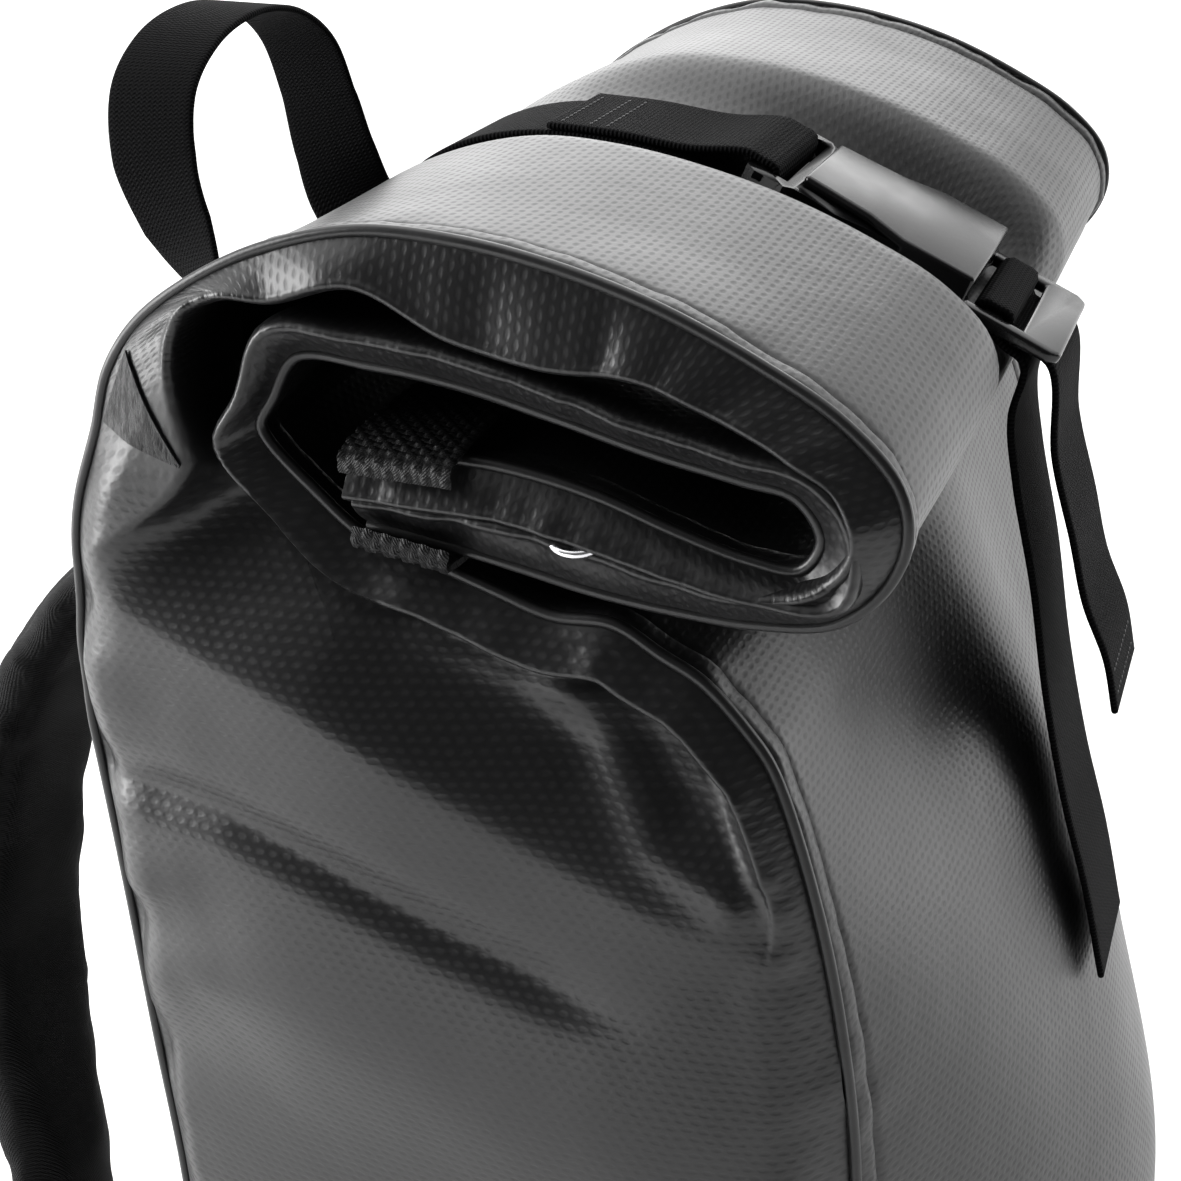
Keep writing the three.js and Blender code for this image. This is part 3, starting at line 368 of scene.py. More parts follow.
# shaders: every pattern is read from the piece's own UV map, which is in metres, or from Object coordinates
class Nodes:
    def __init__(self, name, roughness, colour):
        self.material = bpy.data.materials.new(name)
        self.material.use_nodes = True
        self.tree = self.material.node_tree
        self.shader = self.tree.nodes["Principled BSDF"]
        self.shader.inputs["Base Color"].default_value = (*colour, 1)
        self.shader.inputs["Roughness"].default_value = roughness
        self.coordinates = self.add("ShaderNodeTexCoord")

    def add(self, kind, **settings):
        node = self.tree.nodes.new(kind)
        for key, value in settings.items():
            setattr(node, key, value)
        return node

    def link(self, out, into):
        self.tree.links.new(out, into)

    def fill(self, socket, value):
        if isinstance(value, bpy.types.NodeSocket):
            self.link(value, socket)
        else:
            socket.default_value = value

    def math(self, operation, *values, clamp=False):
        node = self.add("ShaderNodeMath", operation=operation, use_clamp=clamp)
        for socket, value in zip(node.inputs, values):
            self.fill(socket, value)
        return node.outputs[0]

    def vector(self, operation, *values):
        node = self.add("ShaderNodeVectorMath", operation=operation)
        for socket, value in zip(node.inputs, values):
            self.fill(socket, value)
        single = operation in ("LENGTH", "DOT_PRODUCT", "DISTANCE")
        return node.outputs["Value" if single else "Vector"]

    def noise(self, place, scale, detail=2.0, rough=0.5):
        node = self.add("ShaderNodeTexNoise")
        self.link(place, node.inputs["Vector"])
        node.inputs["Scale"].default_value = scale
        node.inputs["Detail"].default_value = detail
        node.inputs["Roughness"].default_value = rough
        return node.outputs["Fac"]

    def noiseColour(self, place, scale):
        node = self.add("ShaderNodeTexNoise")
        self.link(place, node.inputs["Vector"])
        node.inputs["Scale"].default_value = scale
        return self.vector("SUBTRACT", node.outputs["Color"], (0.5, 0.5, 0.5))

    def split(self, place):
        node = self.add("ShaderNodeSeparateXYZ")
        self.link(place, node.inputs[0])
        return node.outputs

    def ramp(self, value, low, high, toLow=0.0, toHigh=1.0):
        node = self.add("ShaderNodeMapRange", interpolation_type="SMOOTHSTEP")
        self.fill(node.inputs["Value"], value)
        for key, number in (("From Min", low), ("From Max", high), ("To Min", toLow), ("To Max", toHigh)):
            node.inputs[key].default_value = number
        return node.outputs["Result"]

    def mixColour(self, share, low, high):
        node = self.add("ShaderNodeMix", data_type="RGBA")
        self.fill(node.inputs["Factor"], share)
        for socket, value in ((node.inputs[6], low), (node.inputs[7], high)):
            socket.default_value = (*value, 1)
        return node.outputs[2]

    def bump(self, height, distance, below=None, strength=1.0):
        node = self.add("ShaderNodeBump")
        node.inputs["Strength"].default_value = strength
        node.inputs["Distance"].default_value = distance
        self.link(height, node.inputs["Height"])
        if below is not None:
            self.link(below, node.inputs["Normal"])
        return node.outputs["Normal"]

    def finish(self, colour=None, roughness=None, normal=None, **sockets):
        if colour is not None:
            self.link(colour, self.shader.inputs["Base Color"])
        if roughness is not None:
            self.link(roughness, self.shader.inputs["Roughness"])
        if normal is not None:
            self.link(normal, self.shader.inputs["Normal"])
        for key, value in sockets.items():
            self.shader.inputs[key.replace("_", " ")].default_value = value
        return self.material


# the emboss of the coated cloth: rows of shallow oval dimples, each row set half a pitch on from the last
def dimples(nodes, place, pitch, rowPitch):
    size = (pitch, 2 * rowPitch, 1.0)
    half = tuple(s / 2 for s in size)
    warp = nodes.vector("MULTIPLY", nodes.noiseColour(place, 160), (0.0011, 0.0011, 0))
    placed = nodes.vector("ADD", place, warp)

    def cell(shift):
        moved = nodes.vector("ADD", placed, shift)
        whole = nodes.vector("FLOOR", nodes.vector("DIVIDE", moved, size))
        rest = nodes.vector("SUBTRACT", moved, nodes.vector("MULTIPLY", whole, size))
        return nodes.vector("MULTIPLY", nodes.vector("SUBTRACT", rest, half), (1 / pitch, 1.25 / rowPitch, 0))

    distances = [nodes.vector("LENGTH", cell((0, 0, 0))), nodes.vector("LENGTH", cell(half))]
    return nodes.math("MINIMUM", *distances)


tarpaulinFinish = {
    "colour": (0.010, 0.010, 0.0105),
    "worn": (0.014, 0.014, 0.0145),
    "roughness": 0.35,
    "pitch": 0.0033,
    "rowPitch": 0.0021,
    "emboss": 0.00005,
}


def makeTarpaulin():
    nodes = Nodes("tarpaulin", tarpaulinFinish["roughness"], tarpaulinFinish["colour"])
    place = nodes.coordinates.outputs["UV"]
    cells = dimples(nodes, place, tarpaulinFinish["pitch"], tarpaulinFinish["rowPitch"])
    dimple = nodes.ramp(cells, 0.12, 0.5)
    grain = nodes.noise(nodes.coordinates.outputs["Object"], 900, 3)
    soft = nodes.noise(nodes.coordinates.outputs["Object"], 28, 3)
    fine = nodes.bump(grain, 0.00004)
    broad = nodes.bump(soft, 0.0006, fine)
    pressed = nodes.bump(dimple, tarpaulinFinish["emboss"], broad)
    colour = nodes.mixColour(soft, tarpaulinFinish["colour"], tarpaulinFinish["worn"])
    patchy = nodes.math("MULTIPLY", nodes.math("SUBTRACT", soft, 0.5), 0.12)
    dimpled = nodes.math("MULTIPLY", nodes.math("SUBTRACT", 1.0, dimple), 0.1)
    rough = nodes.math("ADD", nodes.math("ADD", patchy, dimpled), tarpaulinFinish["roughness"])
    return nodes.finish(colour, rough, pressed, Specular_IOR_Level=0.6)


def makePiping():
    nodes = Nodes("piping_cloth", 0.36, (0.016, 0.016, 0.0165))
    place = nodes.coordinates.outputs["Object"]
    grain = nodes.noise(place, 700, 3)
    rough = nodes.ramp(nodes.noise(place, 60), 0.3, 0.7, 0.3, 0.42)
    return nodes.finish(None, rough, nodes.bump(grain, 0.00005))


webbingFinish = {
    "colour": (0.003, 0.003, 0.0035),
    "lit": (0.007, 0.007, 0.0075),
    "rib": 0.0011,
    "yarn": 0.0016,
}


def makeWebbing():
    nodes = Nodes("ribbed_webbing", 0.75, webbingFinish["colour"])
    u, v, _ = nodes.split(nodes.coordinates.outputs["UV"])
    yarns = nodes.math("MULTIPLY", u, math.tau / webbingFinish["yarn"])
    ribs = nodes.math("MULTIPLY", v, math.tau / webbingFinish["rib"])
    wave = nodes.math("MULTIPLY", nodes.math("SINE", yarns), 1.1)
    rib = nodes.math("SINE", nodes.math("ADD", ribs, wave))
    grain = nodes.noise(nodes.coordinates.outputs["Object"], 1500, 2)
    height = nodes.math("ADD", nodes.math("MULTIPLY", rib, 0.5), nodes.math("MULTIPLY", grain, 0.4))
    colour = nodes.mixColour(nodes.ramp(rib, -1, 1), webbingFinish["colour"], webbingFinish["lit"])
    return nodes.finish(colour, None, nodes.bump(height, 0.00022), Specular_IOR_Level=0.08)


def makePadCloth():
    nodes = Nodes("pad_cloth", 0.78, (0.009, 0.009, 0.0095))
    place = nodes.coordinates.outputs["Object"]
    x, y, z = nodes.split(place)
    slanted = nodes.math("ADD", nodes.math("ADD", x, y), z)
    level = nodes.math("SUBTRACT", nodes.math("ADD", x, y), z)
    twill = nodes.math("SINE", nodes.math("MULTIPLY", slanted, math.tau / 0.0011))
    weft = nodes.math("SINE", nodes.math("MULTIPLY", level, math.tau / 0.0019))
    grain = nodes.noise(place, 1300, 3)
    height = nodes.math("ADD", nodes.math("MULTIPLY", twill, weft), grain)
    colour = nodes.mixColour(nodes.noise(place, 40), (0.007, 0.007, 0.0075), (0.012, 0.012, 0.0125))
    return nodes.finish(colour, None, nodes.bump(height, 0.00012), Specular_IOR_Level=0.3)


def makePlastic():
    nodes = Nodes("moulded_plastic", 0.24, (0.008, 0.008, 0.0085))
    place = nodes.coordinates.outputs["Object"]
    rough = nodes.ramp(nodes.noise(place, 60, 2), 0.35, 0.65, 0.2, 0.27)
    return nodes.finish(None, rough, nodes.bump(nodes.noise(place, 1800, 2), 0.00003))


def makeNickel():
    nodes = Nodes("polished_nickel", 0.16, (0.72, 0.72, 0.74))
    rough = nodes.ramp(nodes.noise(nodes.coordinates.outputs["Object"], 400, 3), 0.35, 0.65, 0.12, 0.24)
    return nodes.finish(None, rough, None, Metallic=1.0)


def makeThread(name="thread", colour=(0.008, 0.008, 0.0085)):
    nodes = Nodes(name, 0.55, colour)
    grain = nodes.noise(nodes.coordinates.outputs["Object"], 3000, 2)
    return nodes.finish(None, None, nodes.bump(grain, 0.00006))


materials = {
    "tarpaulin": makeTarpaulin(),
    "piping": makePiping(),
    "webbing": makeWebbing(),
    "padCloth": makePadCloth(),
    "plastic": makePlastic(),
    "nickel": makeNickel(),
    "thread": makeThread(),
    "paleThread": makeThread("pale_thread", (0.05, 0.05, 0.052)),
}
slotMaterials = {
    "tarpaulin": "tarpaulin",
    "piping": "piping",
    "webbing": "webbing",
    "pad_cloth": "padCloth",
    "buckle_plastic": "plastic",
    "snap_metal": "nickel",
}
for part in frame["record"]["subparts"]:
    node = frame["nodes"][part["node"]]
    node.data.materials.clear()
    node.data.materials.append(materials[slotMaterials[part["material_slot"]]])
print("materials made")

# the photo's view
camera = {
    "place": (-461.24, -148.62, 588.48),
    "forward": (0.83771, 0.31844, -0.44366),
    "right": (0.3553, -0.9348, 0.0),
    "focal": 1900.0,
    "frame": 1181.0,
    "sensor": 36.0,
}


def addCamera():
    data = bpy.data.cameras.new("photoCamera")
    data.sensor_width = camera["sensor"]
    data.lens = camera["focal"] / camera["frame"] * camera["sensor"]
    data.clip_start = 0.01
    obj = collectionLink(bpy.data.objects.new("photoCamera", data))
    forward = Vector(camera["forward"]).normalized()
    right = Vector(camera["right"]).normalized()
    up = right.cross(forward)
    turned = Matrix((right, up, -forward)).transposed().to_4x4()
    obj.matrix_world = Matrix.Translation(Vector(camera["place"]) * mm) @ turned
    bpy.context.scene.camera = obj


def addFloor():
    bm = bmesh.new()
    bmesh.ops.create_circle(bm, cap_ends=True, segments=96, radius=2.4)
    mesh = bpy.data.meshes.new("floor")
    bm.to_mesh(mesh)
    bm.free()
    floor = collectionLink(bpy.data.objects.new("floor", mesh))
    pale = Nodes("pale_floor", 0.8, (0.92, 0.92, 0.92))
    floor.data.materials.append(pale.finish())


# soft boxes: place, what they look at, width, height and power
lights = [
    {"name": "overhead", "place": (0.5, 0.5, 1.9), "at": (0.0, 0.0, 0.3), "size": (1.4, 1.4), "power": 8},
    {"name": "behind", "place": (1.9, 0.6, 1.2), "at": (0.0, 0.0, 0.4), "size": (1.6, 1.6), "power": 9},
    {"name": "leftBack", "place": (-0.7, 1.6, 0.8), "at": (0.0, 0.0, 0.3), "size": (1.0, 1.4), "power": 38},
    {"name": "lowSide", "place": (-1.25, 0.6, 0.1), "at": (-0.15, 0, 0.22), "size": (1.3, 0.5), "power": 3.2},
    {"name": "frontSide", "place": (1.1, -1.7, 0.5), "at": (0.0, 0.0, 0.3), "size": (0.9, 1.3), "power": 7},
]
studio = {"towards": (0.86, 0.36, 0.36), "dark": 0.12, "bright": 1.35, "from": -0.25, "to": 0.45}


def addWorld():
    world = bpy.data.worlds.new("studio")
    world.use_nodes = True
    nodes = world.node_tree.nodes
    background = nodes["Background"]
    background.inputs["Color"].default_value = (1, 1, 1, 1)
    place = nodes.new("ShaderNodeTexCoord")
    facing = nodes.new("ShaderNodeVectorMath")
    facing.operation = "DOT_PRODUCT"
    facing.inputs[1].default_value = Vector(studio["towards"]).normalized()
    ramp = nodes.new("ShaderNodeMapRange")
    ramp.interpolation_type = "SMOOTHSTEP"
    for key, word in (("From Min", "from"), ("From Max", "to"), ("To Min", "dark"), ("To Max", "bright")):
        ramp.inputs[key].default_value = studio[word]
    links = world.node_tree.links
    links.new(place.outputs["Generated"], facing.inputs[0])
    links.new(facing.outputs["Value"], ramp.inputs["Value"])
    links.new(ramp.outputs["Result"], background.inputs["Strength"])
    bpy.context.scene.world = world


def addLights():
    for entry in lights:
        data = bpy.data.lights.new(entry["name"], "AREA")
        data.shape = "RECTANGLE"
        data.size, data.size_y = entry["size"]
        data.energy = entry["power"]
        obj = collectionLink(bpy.data.objects.new(entry["name"], data))
        place = Vector(entry["place"])
        turned = (Vector(entry["at"]) - place).to_track_quat("-Z", "Y").to_matrix().to_4x4()
        obj.matrix_world = Matrix.Translation(place) @ turned
    addWorld()


addCamera()
addFloor()
addLights()
bpy.context.scene.view_settings.view_transform = "Standard"
bpy.context.scene.view_settings.look = "Medium High Contrast"
print("stage set")

# the cloth of the body and of the roll
cloth = {
    "columns": 108,
    "step": 3.0,
    "edgeBand": 5.6,
    "edgeRise": 0.8,
    "frontSeed": 11,
    "backSeed": 23,
    "pitch": 11.0,
    "pucker": 0.9,
}
# dents of the front cloth: x as a share of the width, h, depth and half sizes as shares of the depth
frontDents = [
    (-0.3, 0.84, 0.05, 0.2, 0.12),
    (0.3, 0.84, 0.05, 0.2, 0.12),
    (-0.12, 0.78, 0.03, 0.12, 0.2),
    (0.12, 0.78, 0.03, 0.12, 0.2),
    (0.0, 0.3, 0.02, 0.7, 0.08),
]


def middleShare(x, reach, index):
    onBody = 1 - np.abs(x / reach) ** 2.3
    pressFrom = bag["strapWidth"] / 2 + bag["pressMargin"]
    inRoll = 1 - smoothstep(pressFrom, bag["strapWidth"] / 2 + bag["pressWidth"], np.abs(x))
    return mix(onBody, inRoll, smoothstep(sideTop - 4, sideTop, index))


def clothPlaces(seam, middle, index, share):
    reach = seamWidthAt(index)[:, None]
    x = share[None, :] * (reach - seamEdge)
    press = middleShare(x, reach, index[:, None])[..., None]
    flat = seam.at(index)[:, None, :] * (1 - press) + middle.at(index)[:, None, :] * press
    return np.dstack([x, flat])


def outwards(places, face):
    along = np.gradient(places, axis=0)
    across = np.gradient(places, axis=1)
    normal = np.cross(across, along) * face
    return normal / np.linalg.norm(normal, axis=-1, keepdims=True)


def bigCloth(name, seam, middle, face, seed, dents, replaced):
    index, along = seam.even(0, seam.last, cloth["step"])
    spread = np.linspace(-1, 1, cloth["columns"] + 1)
    share = np.sign(spread) * (1 - (1 - np.abs(spread)) ** 1.6)  # closer columns towards the seams
    places = clothPlaces(seam, middle, index, share)
    h = np.interp(index, np.arange(sideTop + 1), side["frontH"])[:, None]
    onBody = 1 - smoothstep(8, 11, index)[:, None]
    for x0, h0, depth, halfWidth, halfHeight in dents:
        across = (places[..., 0] / bag["width"] - x0) / halfWidth
        up = (h - h0) / halfHeight
        fall = np.exp(-(across**2) - up**2) * (1 - share[None, :] ** 4)
        places[..., 1] += bag["depth"] * depth * fall * onBody
    out = outwards(places, face)
    fromSeam = (1 - np.abs(share))[None, :] * seamWidthAt(index)[:, None]
    relief = np.where(
        share[None, :] < 0,
        puckers(seed, along[-1], cloth["pitch"], cloth["pucker"])(along[:, None], fromSeam),
        puckers(seed + 1, along[-1], cloth["pitch"], cloth["pucker"])(along[:, None], fromSeam),
    )
    soft = swell(seed + 2, 170, 0.9)(places[..., 0], along[:, None]) * smoothstep(0, 40, fromSeam)
    band = smoothstep(cloth["edgeBand"] + 0.8, cloth["edgeBand"] - 0.6, fromSeam)
    band = band * smoothstep(0.2, 1.6, fromSeam)
    groove = np.exp(-(((fromSeam - cloth["edgeBand"] - 0.9) / 0.9) ** 2))
    places = places + out * (relief + soft + cloth["edgeRise"] * band - 0.6 * groove)[..., None]
    sheetPiece(name, places, places[..., 0], along[:, None], bag["cloth"], materials["tarpaulin"],
               replaced)
    return places


frontPlaces = bigCloth("front_cloth", frontSeam, frontMiddle, 1, cloth["frontSeed"], frontDents,
                       ("front_panel", "roll_inner_layer"))
backPlaces = bigCloth("back_cloth", backSeam, backMiddle, -1, cloth["backSeed"], [],
                      ("back_panel", "roll_outer_layer"))
print("front and back cloth made")

# the side cloth runs from the front seam to the back seam; under the roll it parts into the gussets of the
# two layers. Lines on it are y and z in millimetres.
sideFinish = {
    "columns": 50,
    "lowStep": 4.5,
    "step": 1.7,
    "seed": 41,
    "parts": 16.4,
    "parted": 18.3,
    "pleat": 31.0,
}
crest = [
    (125, 412), (90, 404), (72, 397), (35, 385), (7, 372), (-17, 360), (-41, 351), (-58, 346),
    (-130, 330),
]
backRidge = [
    (52, 484), (60, 473), (64, 464), (65, 455), (62, 446), (59, 437), (60, 432), (69, 425),
    (80, 417), (93, 408), (120, 394),
]
secondRidge = [(6, 409), (-14, 402), (-31, 384), (-44, 366), (-62, 357)]
crease = [
    (99, 356), (90, 355), (57, 353), (33, 347), (1, 336), (-29, 327), (-38, 326), (-60, 318),
    (-130, 296),
]
# small folds: both ends, height, and half widths at the ends
smallFolds = [
    ((102, 307), (66, 326), -5.0, 4.5, 14.0),
    ((100, 318), (72, 334), 2.5, 6.0, 9.0),
    ((97, 263), (66, 290), -4.0, 5.0, 16.0),
    ((97, 285), (70, 306), 2.5, 9.0, 12.0),
    ((104, 400), (88, 396), -4.0, 3.5, 7.0),
    ((100, 380), (70, 374), 3.0, 12.0, 12.0),
    ((-67, 359), (-69, 348), -1.4, 3.5, 3.5),
    ((-69, 350), (-60, 336), -1.2, 3.5, 6.0),
    ((-79, 303), (-60, 285), -1.6, 5.0, 9.0),
    ((-88, 312), (-70, 296), 1.6, 5.0, 8.0),
    ((96, 180), (40, 214), -2.2, 9.0, 26.0),
    ((-86, 160), (-30, 190), -2.0, 9.0, 26.0),
    ((90, 70), (30, 98), -2.0, 9.0, 24.0),
]
ridgeReach = ((0, 11), (6.6, 11), (7.1, 6), (9, 8), (12, 9.5), (14, 9), (18.5, 8))


# distance from a line, positive on its left hand, and the share of the line where it is nearest
def fromLine(points, y, z):
    points = np.array(points, float)
    runs = np.diff(points, axis=0)
    lengths = np.linalg.norm(runs, axis=1)
    offset = np.stack([y, z], -1)[..., None, :] - points[:-1]
    share = np.clip(np.sum(offset * runs, -1) / lengths**2, 0, 1)
    apart = offset - share[..., None] * runs
    distance = np.linalg.norm(apart, axis=-1)
    best = np.argmin(distance, -1)[..., None]
    turn = runs[:, 0] * apart[..., 1] - runs[:, 1] * apart[..., 0]
    near, turn, share = (np.take_along_axis(a, best, -1)[..., 0] for a in (distance, turn, share))
    best = best[..., 0]
    travelled = np.concatenate([[0], np.cumsum(lengths)])[best] + share * lengths[best]
    return near * np.where(turn < 0, -1, 1), travelled / np.sum(lengths)


seamSamples = np.linspace(0, sideTop + 0.5, 200)


def sideRelief(y, z):
    frontLine, backLine = frontSeam.at(seamSamples), backSeam.at(seamSamples)
    fromFront, share = fromLine(frontLine, y, z)
    fromBack, _ = fromLine(backLine, y, z)
    pieces = np.linalg.norm(np.diff(frontLine, axis=0), axis=1)
    index = np.interp(share, np.concatenate([[0], np.cumsum(pieces)]) / np.sum(pieces), seamSamples)
    fromFront, fromBack = np.abs(fromFront), np.abs(fromBack)
    reach = np.interp(index, *zip(*ridgeReach))
    sharp = smoothstep(6.6, 8.2, index)
    rise = np.clip(fromFront / reach, 0, 1)
    edge = mix(np.sqrt(smoothstep(0, 1, rise)), rise**0.8, sharp)
    edge = np.minimum(edge, np.sqrt(smoothstep(0, bag["ridge"], fromBack)))
    past = fromFront - reach
    above, crestShare = fromLine(crest, y, z)
    above = -above
    cavity, along = fromLine(backRidge, y, z)
    fall = 1 - np.exp(-np.maximum(past, 0) / mix(7, 3.5, smoothstep(14, 17, index)))
    fall = fall * (1 - np.exp(-((np.maximum(above, 0) / 34) ** 1.5)))
    fall = fall * (1 - np.exp(-np.maximum(-cavity, 0) / mix(3.5, 13, smoothstep(0.4, 0.75, along))))
    total = bag["seamInset"] * edge - sideFinish["pleat"] * fall
    total -= 3.2 * np.exp(-(((past - 5) / 3.2) ** 2)) * smoothstep(6.9, 8.4, index) * sharp
    second, _ = fromLine(secondRidge, y, z)
    total += 3.4 * np.exp(-((second / 5.5) ** 2)) * smoothstep(0, 10, past)
    inside = smoothstep(0, 16, np.minimum(fromFront, fromBack))
    total += 3.5 * np.exp(-((above / 22) ** 2)) * inside * (1 - smoothstep(0.4, 0.62, crestShare))
    fold, creaseShare = fromLine(crease, y, z)
    fold = -fold
    under = np.where(fold < 0, 5.0, 7.5)
    dip = 3.2 * np.exp(-((fold / under) ** 2)) * smoothstep(0, 4, fromBack)
    total -= dip * (1 - smoothstep(0.5, 0.64, creaseShare))
    total += 5.0 * np.exp(-(((fold + 34) / 30) ** 2)) * inside
    for start, end, height, startWidth, endWidth in smallFolds:
        near, place = fromLine([start, end], y, z)
        fade = 1 - 0.6 * place
        width = mix(startWidth, endWidth, place)
        total += height * fade * np.exp(-((near / width) ** 2)) * smoothstep(0, 5, fromBack)
    return total, fromFront, fromBack


# weights of a smooth line through control points, at even shares of their numbers
def lineWeights(count, at):
    low = np.minimum(at.astype(int), count - 2)
    t = at - low
    weights = np.zeros((len(at), count))
    parts = (
        (-t + 2 * t**2 - t**3) / 2,
        (2 - 5 * t**2 + 3 * t**3) / 2,
        (t + 4 * t**2 - 3 * t**3) / 2,
        (t**3 - t**2) / 2,
    )
    for shift, part in zip((-1, 0, 1, 2), parts):
        np.add.at(weights, (np.arange(len(at)), np.clip(low + shift, 0, count - 1)), part)
    return weights


# where each layer's gusset has its outer fold: row, y and z
frontFoldRows = [
    (15, 9, 413), (16, 29, 416.5), (17, 41, 428), (18, 52.5, 440.5), (19, 46.5, 452),
    (20, 39.4, 467), (21, 19, 467.5), (22, -1, 466), (23, -21, 462), (24, -40, 457.2),
    (25, -58, 453.8), (26, -72.5, 451), (27, -80.2, 441), (28, -79, 428), (29, -63, 426.5),
    (30, -46, 429), (31, -27, 433), (32, -10, 435.5), (33, 10, 435.5), (34, 24, 435.5),
]
backFoldRows = [
    (14, 82, 415), (15, 71, 424), (16, 60, 434), (17, 61, 444), (18, 64, 454), (19, 63, 464),
    (20, 58, 471), (21, 50, 474.5), (22, 39, 475), (23, 20, 480), (24, 0, 472), (25, -20, 468.5),
    (26, -38, 468.5), (27, -52, 464), (28, -68, 457), (29, -79, 449), (30, -82, 440),
    (31, -78.5, 432), (32, -72, 427.5), (33, -61, 425), (34, -45, 426.5), (35, -28, 429.5),
    (36, -12, 432), (37, 5, 432.5), (38, 22, 433),
]
# across the gusset: out from the bag's edge, share of the way to the fold, and depth past the fold
foldSection = ((seamEdge - bag["seamInset"], 0.0, 0.0), (-2.6, 0.5, 0.0), (-0.3, 0.92, 0.0), (0.4, 1.0, 0.9),
               (-3.0, 1.0, 2.0), (-13.0, 1.0, 1.5), (-bag["gussetReach"], 1.0, -1.5))


def foldPlaces(seam, face, rows, index, share):
    table = np.array(rows, float)
    edge = SmoothLine(table[:, 1:]).at(index - table[0, 0])
    start = seam.at(index)
    out = outOf(seam, index, face)[:, 1:]
    controls = []
    for x, way, past in foldSection:
        across = np.full(len(index), bag["width"] / 2 + x)
        controls.append(np.column_stack([across, mix(start, edge, way) - out * past]))
    weights = lineWeights(len(controls), share * (len(controls) - 1))
    return np.einsum("ck,rkx->rcx", weights, np.stack(controls, 1))


def sideStrip(seam, face, rows, index, share):
    body = index <= sideFinish["parted"] + 0.5
    middle = np.interp(index, (0, 12, 15, 17, 18.5), (0.5, 0.5, 0.42, 0.3, 0.25))
    bands = (0.14, 0.14, 0.35, 0.55, 0.6) if face < 0 else (0.14, 0.14, 0.15, 0.12, 0.1)
    band = np.interp(index, (0, 12, 15.5, 17, 18.5), bands)
    reach = 1 - middle if face < 0 else middle
    way = np.where(share < 0.5, band[:, None] * (share / 0.5) ** 1.3,
                   mix(band[:, None], reach[:, None], np.clip(share - 0.5, 0, 1) / 0.5))
    way = 1 - way if face < 0 else way
    front, back = frontSeam.at(index)[:, None, :], backSeam.at(np.minimum(index, sideTop + 0.8))[:, None, :]
    span = np.linalg.norm(back - front, axis=-1)
    flat = front + (back - front) * (mix(seamEdge, span - seamEdge, way) / span)[..., None]
    if face > 0:
        reach = 1.25 * np.interp(index, *zip(*ridgeReach))[:, None]
        inwards = -outOf(seam, index, face)[:, None, 1:]
        beside = front + inwards * (mix(seamEdge, reach, np.clip(share / 0.5, 0, 1)))[..., None]
        target = front + (back - front) * middle[:, None, None]
        further = np.clip(share - 0.5, 0, 1)[None, :, None] / 0.5
        flat = mix(beside, target, further ** mix(1.0, 1.5, further))
    relief, fromFront, fromBack = sideRelief(flat[..., 0], flat[..., 1])
    bulge = bag["depth"] * columnAt(side, "bulge", index)[:, None] * np.sin(np.pi * way)
    out = seamWidthAt(index)[:, None] + relief + bulge
    bodyPlaces = np.dstack([out, flat])
    folded = foldPlaces(seam, face, rows, np.maximum(index, rows[0][0]), share)
    apart = smoothstep(sideFinish["parts"], sideFinish["parted"], index)[:, None, None]
    places = np.where(body[:, None, None], mix(bodyPlaces, folded, apart), folded)
    return places, flat, fromFront, fromBack, apart


def sideMesh(name, hand):
    low, _ = frontSeam.even(0, 6, sideFinish["lowStep"])
    high, _ = frontSeam.even(6, sideTop, sideFinish["step"])
    shared = np.concatenate([low, high[1:]])
    share = np.linspace(0, 1, sideFinish["columns"] + 1)
    bm = bmesh.new()
    for seam, face, rows in ((frontSeam, 1, frontFoldRows), (backSeam, -1, backFoldRows)):
        roll, _ = seam.even(sideTop, seam.last, sideFinish["step"])
        index = np.concatenate([shared, roll[1:]])
        steps = np.linalg.norm(np.diff(seam.at(index), axis=0), axis=1)
        along = np.concatenate([[0], np.cumsum(steps)])
        places, flat, fromFront, fromBack, apart = sideStrip(seam, face, rows, index, share)
        beside = fromFront if face > 0 else fromBack
        wrinkle = puckers(sideFinish["seed"] + face, along[-1], 9.0, 0.5)
        wrinkle = wrinkle(along[:, None], np.maximum(beside - 3, 0))
        onBand = np.sin(np.pi * np.clip(share / 0.62, 0, 1))[None, :]
        pitch, strength = (8.0, 0.8) if face > 0 else (14.0, 1.5)
        crumple = puckers(sideFinish["seed"] + 5 * face, along[-1], pitch, strength)
        crumple = crumple(along[:, None], np.full((1, len(share)), 2.0))
        soft = swell(sideFinish["seed"] + 2, 120, 0.8)(flat[..., 0], flat[..., 1])
        soft = soft * smoothstep(0, 30, np.minimum(fromFront, fromBack))
        places[..., 0] += mix(wrinkle + soft, crumple * onBand, apart[..., 0])
        places[..., 0] *= hand
        length = np.cumsum(np.linalg.norm(np.diff(places, axis=1, prepend=places[:, :1]), axis=-1), axis=1)
        start = int(np.argmin(np.abs(index - 17)))
        u = mix(flat[..., 0], face * (length - length[start, -1]) + flat[start, -1, 0], apart[..., 0])
        v = mix(flat[..., 1], (along - along[start])[:, None] + flat[start, -1, 1], apart[..., 0])
        if hand * face < 0:
            places, u, v = places[:, ::-1], u[:, ::-1], v[:, ::-1]
        mesh = gridMesh(name, places, u, v)
        bm.from_mesh(mesh)
        bpy.data.meshes.remove(mesh)
    bmesh.ops.remove_doubles(bm, verts=bm.verts, dist=0.00001)
    mesh = bpy.data.meshes.new(name)
    bm.to_mesh(mesh)
    bm.free()
    mesh.shade_smooth()
    return mesh


